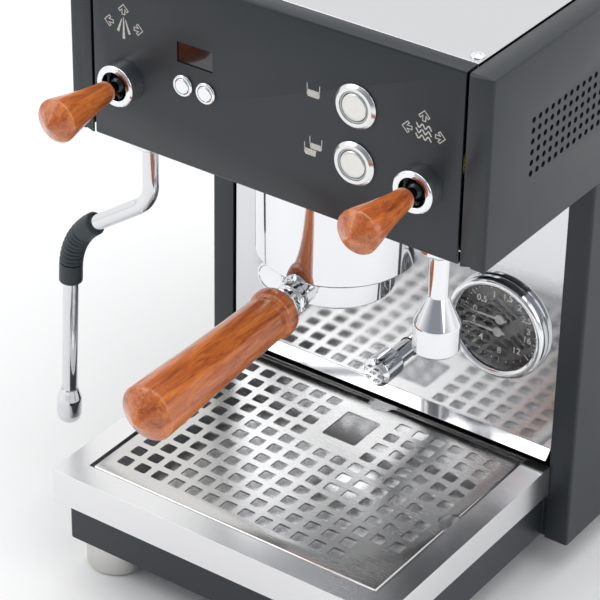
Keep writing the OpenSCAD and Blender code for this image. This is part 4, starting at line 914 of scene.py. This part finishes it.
wand_steel = metal("polished_wand_steel", "#d8d9db", 0.085, (1, 1, 0.1), 0.003)
wand_ball_r, neck_r, tube_r = 7.5, 4, 5
ball_outline = [(-wand_ball_r * math.cos(a), wand_ball_r * math.sin(a)) for a in
                [math.radians(147.8 * i / 24) for i in range(25)]]
fitted("steam_ball", turned(ball_outline + [(9, neck_r), (9, tube_r), (10, tube_r), (10, 0)], steam_ball, down,
                            0.1), wand_steel, "steam_wand", "wand_steel", "steam_wand_tube")
wand_corners = [steam_ball + Vector((-x, 0, -z)) * mm for x, z in ((0, 9), (0, 45), (63, 89), (70, 232))]
run_down = (wand_corners[3] - wand_corners[2]).normalized()
tube_end = wand_corners[3] - run_down * 18 * mm
tube_route, tube_length = rounded_route(wand_corners[:3] + [tube_end], (22 * mm, 50 * mm), 3 * mm)
fitted("steam_tube", drawn(tube_route, [tube_r * mm] * len(tube_route), wand_steel), wand_steel, "steam_wand",
       "wand_steel")
# Moulded silicone rubber: dark blue-grey, smooth collars at both ends and round ribs between.
rubber, tree, place = start_finish("silicone_rubber")
bloom = add_node(tree, "ShaderNodeTexNoise", {"Vector": place, "Scale": 1 / (4 * mm), "Detail": 4.0})
dusty = add_node(tree, "ShaderNodeMapRange", {"Value": bloom.outputs[0], "To Min": 0.42, "To Max": 0.6})
tint = add_node(tree, "ShaderNodeMix", {0: bloom.outputs[0], 6: linear("#1b252b"), 7: linear("#2b383f")},
                data_type="RGBA")
close_finish(tree, {"Base Color": tint.outputs[2], "Roughness": dusty.outputs[0]})
slant = (wand_corners[2] - wand_corners[1]).normalized()
sleeve_bend = slant.angle(run_down)
sleeve_cut = 50 * mm * math.tan(sleeve_bend / 2)
sleeve_start = wand_corners[2] - slant * sleeve_cut
sleeve_end = wand_corners[2] + run_down * (sleeve_cut + 11 * mm)
sleeve_route, sleeve_length = rounded_route(
    [sleeve_start - slant * 0.01 * mm, wand_corners[2], sleeve_end], (50 * mm,), 0.4 * mm)
collar, ribs = 0.26, 8
sleeve_girths = []
for i in range(len(sleeve_route)):
    share = i / (len(sleeve_route) - 1)
    end_gap = min(share, 1 - share) * sleeve_length / mm
    girth = 7.45
    if collar < share < 1 - collar:
        wave = math.sin(math.pi * ribs * (share - collar) / (1 - 2 * collar))
        girth = 6.1 + 1.45 * math.sqrt(abs(wave))
    sleeve_girths.append((girth - 1.6 * max(0, 1 - end_gap / 1.4) ** 2) * mm)
fitted("wand_sleeve", drawn(sleeve_route, sleeve_girths, rubber, 48), rubber, "steam_wand", "black_rubber",
       "steam_wand_grip")
fitted("steam_tip", turned([(8, 0), (0, 5.1), (0, 5.6), (2, 6.1), (7.2, 7.8), (9, 8), (19, 8), (22.6, 7.0),
                            (25, 4.8), (26, 2.2), (26, 0)],
                           wand_corners[3] - run_down * 26 * mm, run_down, 0.5), wand_steel,
       "steam_wand", "wand_steel", "steam_wand_tip")
fitted("water_wand_body", turned(ball_outline + [(9, neck_r), (9, 5.8), (35, 5.8), (36.5, 6.6), (52.6, 13.5),
                                                 (53.6, 13.7), (69.4, 13.7), (71, 12.2), (71, 10.2), (64, 10.2),
                                                 (64, 2.5), (63, 0)], water_ball, down, 0.35), chrome,
       "water_wand", "chrome", "water_wand")

# ---- Pressure gauge ----
# Chrome bezel with a stepped inner edge over a black printed dial for both circuits, two white
# needles and a flat glass.
splash_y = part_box("backsplash")[1].y - 1.2 * mm
case_lo, case_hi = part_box("gauge_case")
dial_at = Vector(((case_lo.x + case_hi.x) / 2, splash_y, (case_lo.z + case_hi.z) / 2))
front = (0, -1, 0)
fitted("gauge_bezel", turned([(-24, 0), (-24, 30.2), (0, 30.2), (0, 33.8), (1.2, 34.5), (4.2, 34.5),
                              (6.2, 33.6), (7, 32.0), (7, 30.4), (6.4, 29.4), (5.8, 28.6), (5.6, 29.6),
                              (-2.6, 29.6), (-2.6, 0)], dial_at, front, 0.6, False, 128), chrome, "housing",
       "chrome", "gauge_case")
# Screen-printed aluminium dial: dead black with crisp white figures.
dial_black, tree, place = start_finish("dial_black")
speck = add_node(tree, "ShaderNodeTexNoise", {"Vector": place, "Scale": 1 / (0.7 * mm), "Detail": 2.0})
dull = add_node(tree, "ShaderNodeMapRange", {"Value": speck.outputs[0], "To Min": 0.5, "To Max": 0.65})
close_finish(tree, {"Base Color": linear("#0c0d0e"), "Roughness": dull.outputs[0]})
fitted("dial_plate", turned([(-2.5, 0), (-2.5, 29.2), (-1.5, 29.2), (-1.5, 0)], dial_at, front, 0.05), dial_black,
       "housing", "gauge_dial", "gauge_dial")
white_ink, tree, place = start_finish("white_dial_ink")
film = add_node(tree, "ShaderNodeTexNoise", {"Vector": place, "Scale": 1 / (0.5 * mm), "Detail": 1.0})
matt = add_node(tree, "ShaderNodeMapRange", {"Value": film.outputs[0], "To Min": 0.5, "To Max": 0.7})
close_finish(tree, {"Base Color": linear("#f1f2f2"), "Roughness": matt.outputs[0]})
print_y = 1.5 * mm - 0.03 * mm


def on_dial(radius, degrees, lift=0.0):
    """A place on the dial at an angle that runs anticlockwise from its right."""
    a = math.radians(degrees)
    return dial_at + Vector((radius * math.cos(a), 0, radius * math.sin(a))) * mm + Vector((0, print_y - lift, 0))


def lettered(text, size, at):
    """A figure as a thin flat mesh that faces the front, centred at a place."""
    words = bpy.data.curves.new("figure", "FONT")
    words.body = text
    words.size = size * mm
    words.align_x, words.align_y = "CENTER", "CENTER"
    words.extrude = 0.02 * mm
    words.offset = 0.12 * mm
    holder = bpy.data.objects.new("figure", words)
    bpy.context.scene.collection.objects.link(holder)
    flat = bpy.data.meshes.new_from_object(holder.evaluated_get(bpy.context.evaluated_depsgraph_get()))
    bpy.data.objects.remove(holder)
    flat.transform(Matrix.Translation(at) @ Matrix.Rotation(math.radians(90), 4, "X"))
    return flat


def joined(meshes):
    """Several meshes as one."""
    work = bmesh.new()
    for mesh in meshes:
        work.from_mesh(mesh)
    result = bpy.data.meshes.new("joined")
    work.to_mesh(result)
    work.free()
    return result


figures = [("0", 167), ("0,5", 138), ("1", 108), ("1,5", 80), ("2", 52), ("2,5", 26), ("3", 3),
           ("2", 190), ("4", 226), ("8", 270), ("12", 308), ("16", 344)]
fitted("dial_figures", joined([lettered(text, 5.8, on_dial(18.8, angle)) for text, angle in figures]), white_ink,
       "housing", "needle_white")
tick = joined([turned([(-0.02, 0), (-0.02, 0.45), (0.02, 0.45), (0.02, 0)], (dx * mm, 0, 0), front, 0.0, False, 12)
               for dx in (-1.6, -1.1, -0.6, -0.1, 0.4, 0.9, 1.4)])
dot = turned([(-0.02, 0), (-0.02, 0.42), (0.02, 0.42), (0.02, 0)], (0, 0, 0), front, 0.0, False, 12)
long_angles = [171, 142, 110, 81, 52, 24, -4, 344, 318, 270, 226, 196]
dot_angles = [a for start, end, n in ((171, 142, 5), (142, 110, 5), (110, 81, 5), (81, 52, 5), (52, 24, 5),
                                      (24, -4, 5), (196, 226, 4), (226, 270, 4), (270, 318, 4), (318, 344, 4))
              for a in [start + (end - start) * k / n for k in range(1, n)]]
fitted("dial_ticks", spaced(tick, [on_dial(25.2, a) for a in long_angles], white_ink,
                            [(0, -math.radians(a), 0) for a in long_angles]), white_ink, "housing",
       "needle_white")
fitted("dial_dots", spaced(dot, [on_dial(25.4, a) for a in dot_angles], white_ink), white_ink, "housing",
       "needle_white")
needle_paint, tree, place = start_finish("white_needle_paint")
coat = add_node(tree, "ShaderNodeTexNoise", {"Vector": place, "Scale": 1 / (1.2 * mm), "Detail": 2.0})
shine = add_node(tree, "ShaderNodeMapRange", {"Value": coat.outputs[0], "To Min": 0.3, "To Max": 0.45})
close_finish(tree, {"Base Color": linear("#f3f3f2"), "Roughness": shine.outputs[0]})
for circuit in ("boiler", "pump"):
    hub = pivot(f"needle_{circuit}_turn")
    lo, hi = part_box(f"needle_{circuit}")
    blade = eased(f"needle_{circuit}", 0.08 * mm)
    cap = turned([(0, 0), (0, 3.2), (0.6, 3.3), (1.0, 2.9), (1.15, 0)], (hub.x, lo.y + 0.9 * mm, hub.z), front,
                 0.15, False, 48)
    fitted(f"{circuit}_needle", joined([blade, cap]), needle_paint, f"needle_{circuit}", "needle_white",
           f"needle_{circuit}")
# Float glass, flat and clear, with the room's reflection on it.
gauge_glass, tree, place = start_finish("gauge_float_glass")
smear = add_node(tree, "ShaderNodeTexNoise", {"Vector": place, "Scale": 1 / (12 * mm), "Detail": 2.0})
clean = add_node(tree, "ShaderNodeMapRange", {"Value": smear.outputs[0], "To Min": 0.0, "To Max": 0.03})
close_finish(tree, {"Base Color": linear("#ffffff"), "Roughness": clean.outputs[0], "IOR": 1.52,
                    "Transmission Weight": 1.0})
fitted("gauge_window", turned([(4.3, 0), (4.3, 29.2), (5.4, 29.2), (5.4, 0)], dial_at, front, 0.1), gauge_glass,
       "housing", "gauge_glass", "gauge_glass")

# ---- Drain nozzle ----
# Turned and chromed outlet for water from the pressure relief valve, pointing over the tray.
nozzle_lo, nozzle_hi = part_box("drain_nozzle")
drain_at = ((nozzle_lo.x + nozzle_hi.x) / 2, splash_y, (nozzle_lo.z + nozzle_hi.z) / 2)
fitted("drain_spout", turned([(-12, 0), (-12, 6), (17.6, 6), (18.6, 8.2), (20.6, 9.7), (36.6, 9.7), (39.5, 7.2),
                              (39.5, 0)], drain_at, front, 0.45), chrome,
       "housing", "chrome", "drain_nozzle")

# ---- Drip tray and grid ----
# Deep tray folded and welded from stainless sheet, with ground corners and a brushed rim. The
# grid is punched with rounded square holes, a large drain opening and two finger notches.
tray_lo, tray_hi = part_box("drip_tray")
tray_steel = metal("brushed_tray_steel", "#e3e3e4", 0.25, (0.05, 1, 1), 0.006)
fitted("folded_tray", eased("drip_tray", 0.5 * mm, 3, 1.6 * mm, lambda at: at.y < tray_lo.y + 2 * mm), tray_steel,
       "drip_tray", "brushed_steel", "drip_tray")
grid_lo, grid_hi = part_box("drip_grid")
skirt_z = grid_hi.z - 4 * mm
corners = [(x, y, z) for y in (grid_lo.y, grid_hi.y) for z in (skirt_z, grid_hi.z)
           for x in (grid_lo.x, grid_hi.x)]
grid = folded(corners, [(2, 3, 7, 6), (0, 1, 3, 2), (4, 5, 7, 6), (0, 2, 6, 4), (1, 3, 7, 5)], (0, 0, 1),
              1.2 * mm, 1.7 * mm, 0.15 * mm)
grid_steel = metal("polished_grid_steel", "#cdccca", 0.26, (0.05, 1, 1), 0.004)
grid_cols, grid_rows, grid_pitch, grid_first, hole_w = 15, 11, 13.1 * mm, 16.2 * mm, 8.6 * mm
row_y = [grid_lo.y + grid_first + j * grid_pitch for j in range(grid_rows)]
cells = [((i - (grid_cols - 1) / 2) * grid_pitch, row_y[j], grid_hi.z) for i in range(grid_cols)
         for j in range(grid_rows) if not (i > grid_cols - 3 and j < 2 or i == grid_cols - 1 and j == 5
                                           or abs(i - (grid_cols - 1) / 2) < 2 and j > grid_rows - 5)]
through = (0, 0, 6 * mm)
grid = punched(grid, cells, (hole_w, hole_w), 1.3 * mm, 3, through, grid_steel)
opening_w, opening_l, notch_r = 25 * mm, 30 * mm, 9 * mm
opening_y = row_y[grid_rows - 2] - opening_l + 9 * mm + opening_l / 2
grid = punched(grid, [(0, opening_y, grid_hi.z)], (opening_w, opening_l), 1.6 * mm, 4, through, grid_steel)
grid = punched(grid, [(0, grid_hi.y, grid_hi.z), (grid_hi.x, row_y[5], grid_hi.z)], (2 * notch_r, 2 * notch_r),
               notch_r, 12, through, grid_steel)
fitted("punched_grid", grid, grid_steel, "drip_grid", "brushed_steel", "drip_grid")

# ---- Mains inlet and switch ----
# A moulded inlet for a mains lead and a red rocker, both snapped into the rear panel.
moulded_black, tree, place = start_finish("moulded_black_nylon")
tooth = add_node(tree, "ShaderNodeTexNoise", {"Vector": place, "Scale": 1 / (0.6 * mm), "Detail": 3.0})
satin = add_node(tree, "ShaderNodeMapRange", {"Value": tooth.outputs[0], "To Min": 0.38, "To Max": 0.55})
close_finish(tree, {"Base Color": linear("#1f2022"), "Roughness": satin.outputs[0]})
fitted("mains_socket", eased("power_inlet", 0.5 * mm, 3), moulded_black, "housing", "black_plastic", "power_inlet")
inlet_lo, inlet_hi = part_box("power_inlet")
pin = turned([(0, 0), (0, 1.0), (11, 1.0), (12, 0.4), (12, 0)], (0, 0, 0), (0, 1, 0), 0.2, False, 24)
pin_x, pin_z = (inlet_lo.x + inlet_hi.x) / 2, (inlet_lo.z + inlet_hi.z) / 2
pin_spots = [(pin_x + dx * mm, inlet_hi.y - 17.6 * mm, pin_z + dz * mm) for dx, dz in ((-7, -2), (0, 2), (7, -2))]
nickel = metal("nickel_plate", "#c9c5bb", 0.2)
fitted("mains_pins", spaced(pin, pin_spots, nickel), nickel, "housing", "chrome")
red_rocker, tree, place = start_finish("red_polycarbonate")
flow = add_node(tree, "ShaderNodeTexNoise", {"Vector": place, "Scale": 1 / (5 * mm), "Detail": 2.0})
gloss = add_node(tree, "ShaderNodeMapRange", {"Value": flow.outputs[0], "To Min": 0.12, "To Max": 0.22})
close_finish(tree, {"Base Color": linear("#9a1d18"), "Roughness": gloss.outputs[0]})
fitted("switch_rocker", eased("power_switch", 0.6 * mm, 3), red_rocker, "power_switch", "switch_red",
       "power_switch")

# ---- Inside the housing ----
# Machined brass, copper pipe, stainless boilers, moulded boxes and the clear tank keep their CAD
# shapes. Each gets the finish of its own stock.
machined_brass = metal("machined_brass", "#c39a4e", 0.24, (1, 1, 0.2), 0.01)
copper_pipe = metal("drawn_copper", "#c07a4c", 0.27)
boiler_steel = metal("satin_boiler_steel", "#bcbfc1", 0.32, (1, 0.1, 1), 0.01)
nitrile = powder_coat("nitrile_seal", "#1c1c1e")
# Clear moulded copolyester, slightly blue, thin enough to see through.
clear_tank, tree, place = start_finish("clear_copolyester")
ripple = add_node(tree, "ShaderNodeTexNoise", {"Vector": place, "Scale": 1 / (14 * mm), "Detail": 2.0})
wet = add_node(tree, "ShaderNodeMapRange", {"Value": ripple.outputs[0], "To Min": 0.08, "To Max": 0.2})
close_finish(tree, {"Base Color": linear("#c6d8df"), "Roughness": wet.outputs[0], "IOR": 1.57, "Alpha": 0.35})
for finish, nodes in ((machined_brass, ("group_head", "boiler_valves", "valve_bodies")),
                      (copper_pipe, ("copper_pipes",)),
                      (boiler_steel, ("coffee_boiler", "steam_boiler", "heating_elements")),
                      (pressed_steel, ("bayonet_ring", "shower_screen")),
                      (nitrile, ("group_gasket",)),
                      (moulded_black, ("water_pump", "control_box")),
                      (clear_tank, ("water_tank",))):
    for node in nodes:
        for place_in_node in frame["nodes"][node].material_slots:
            place_in_node.material = finish
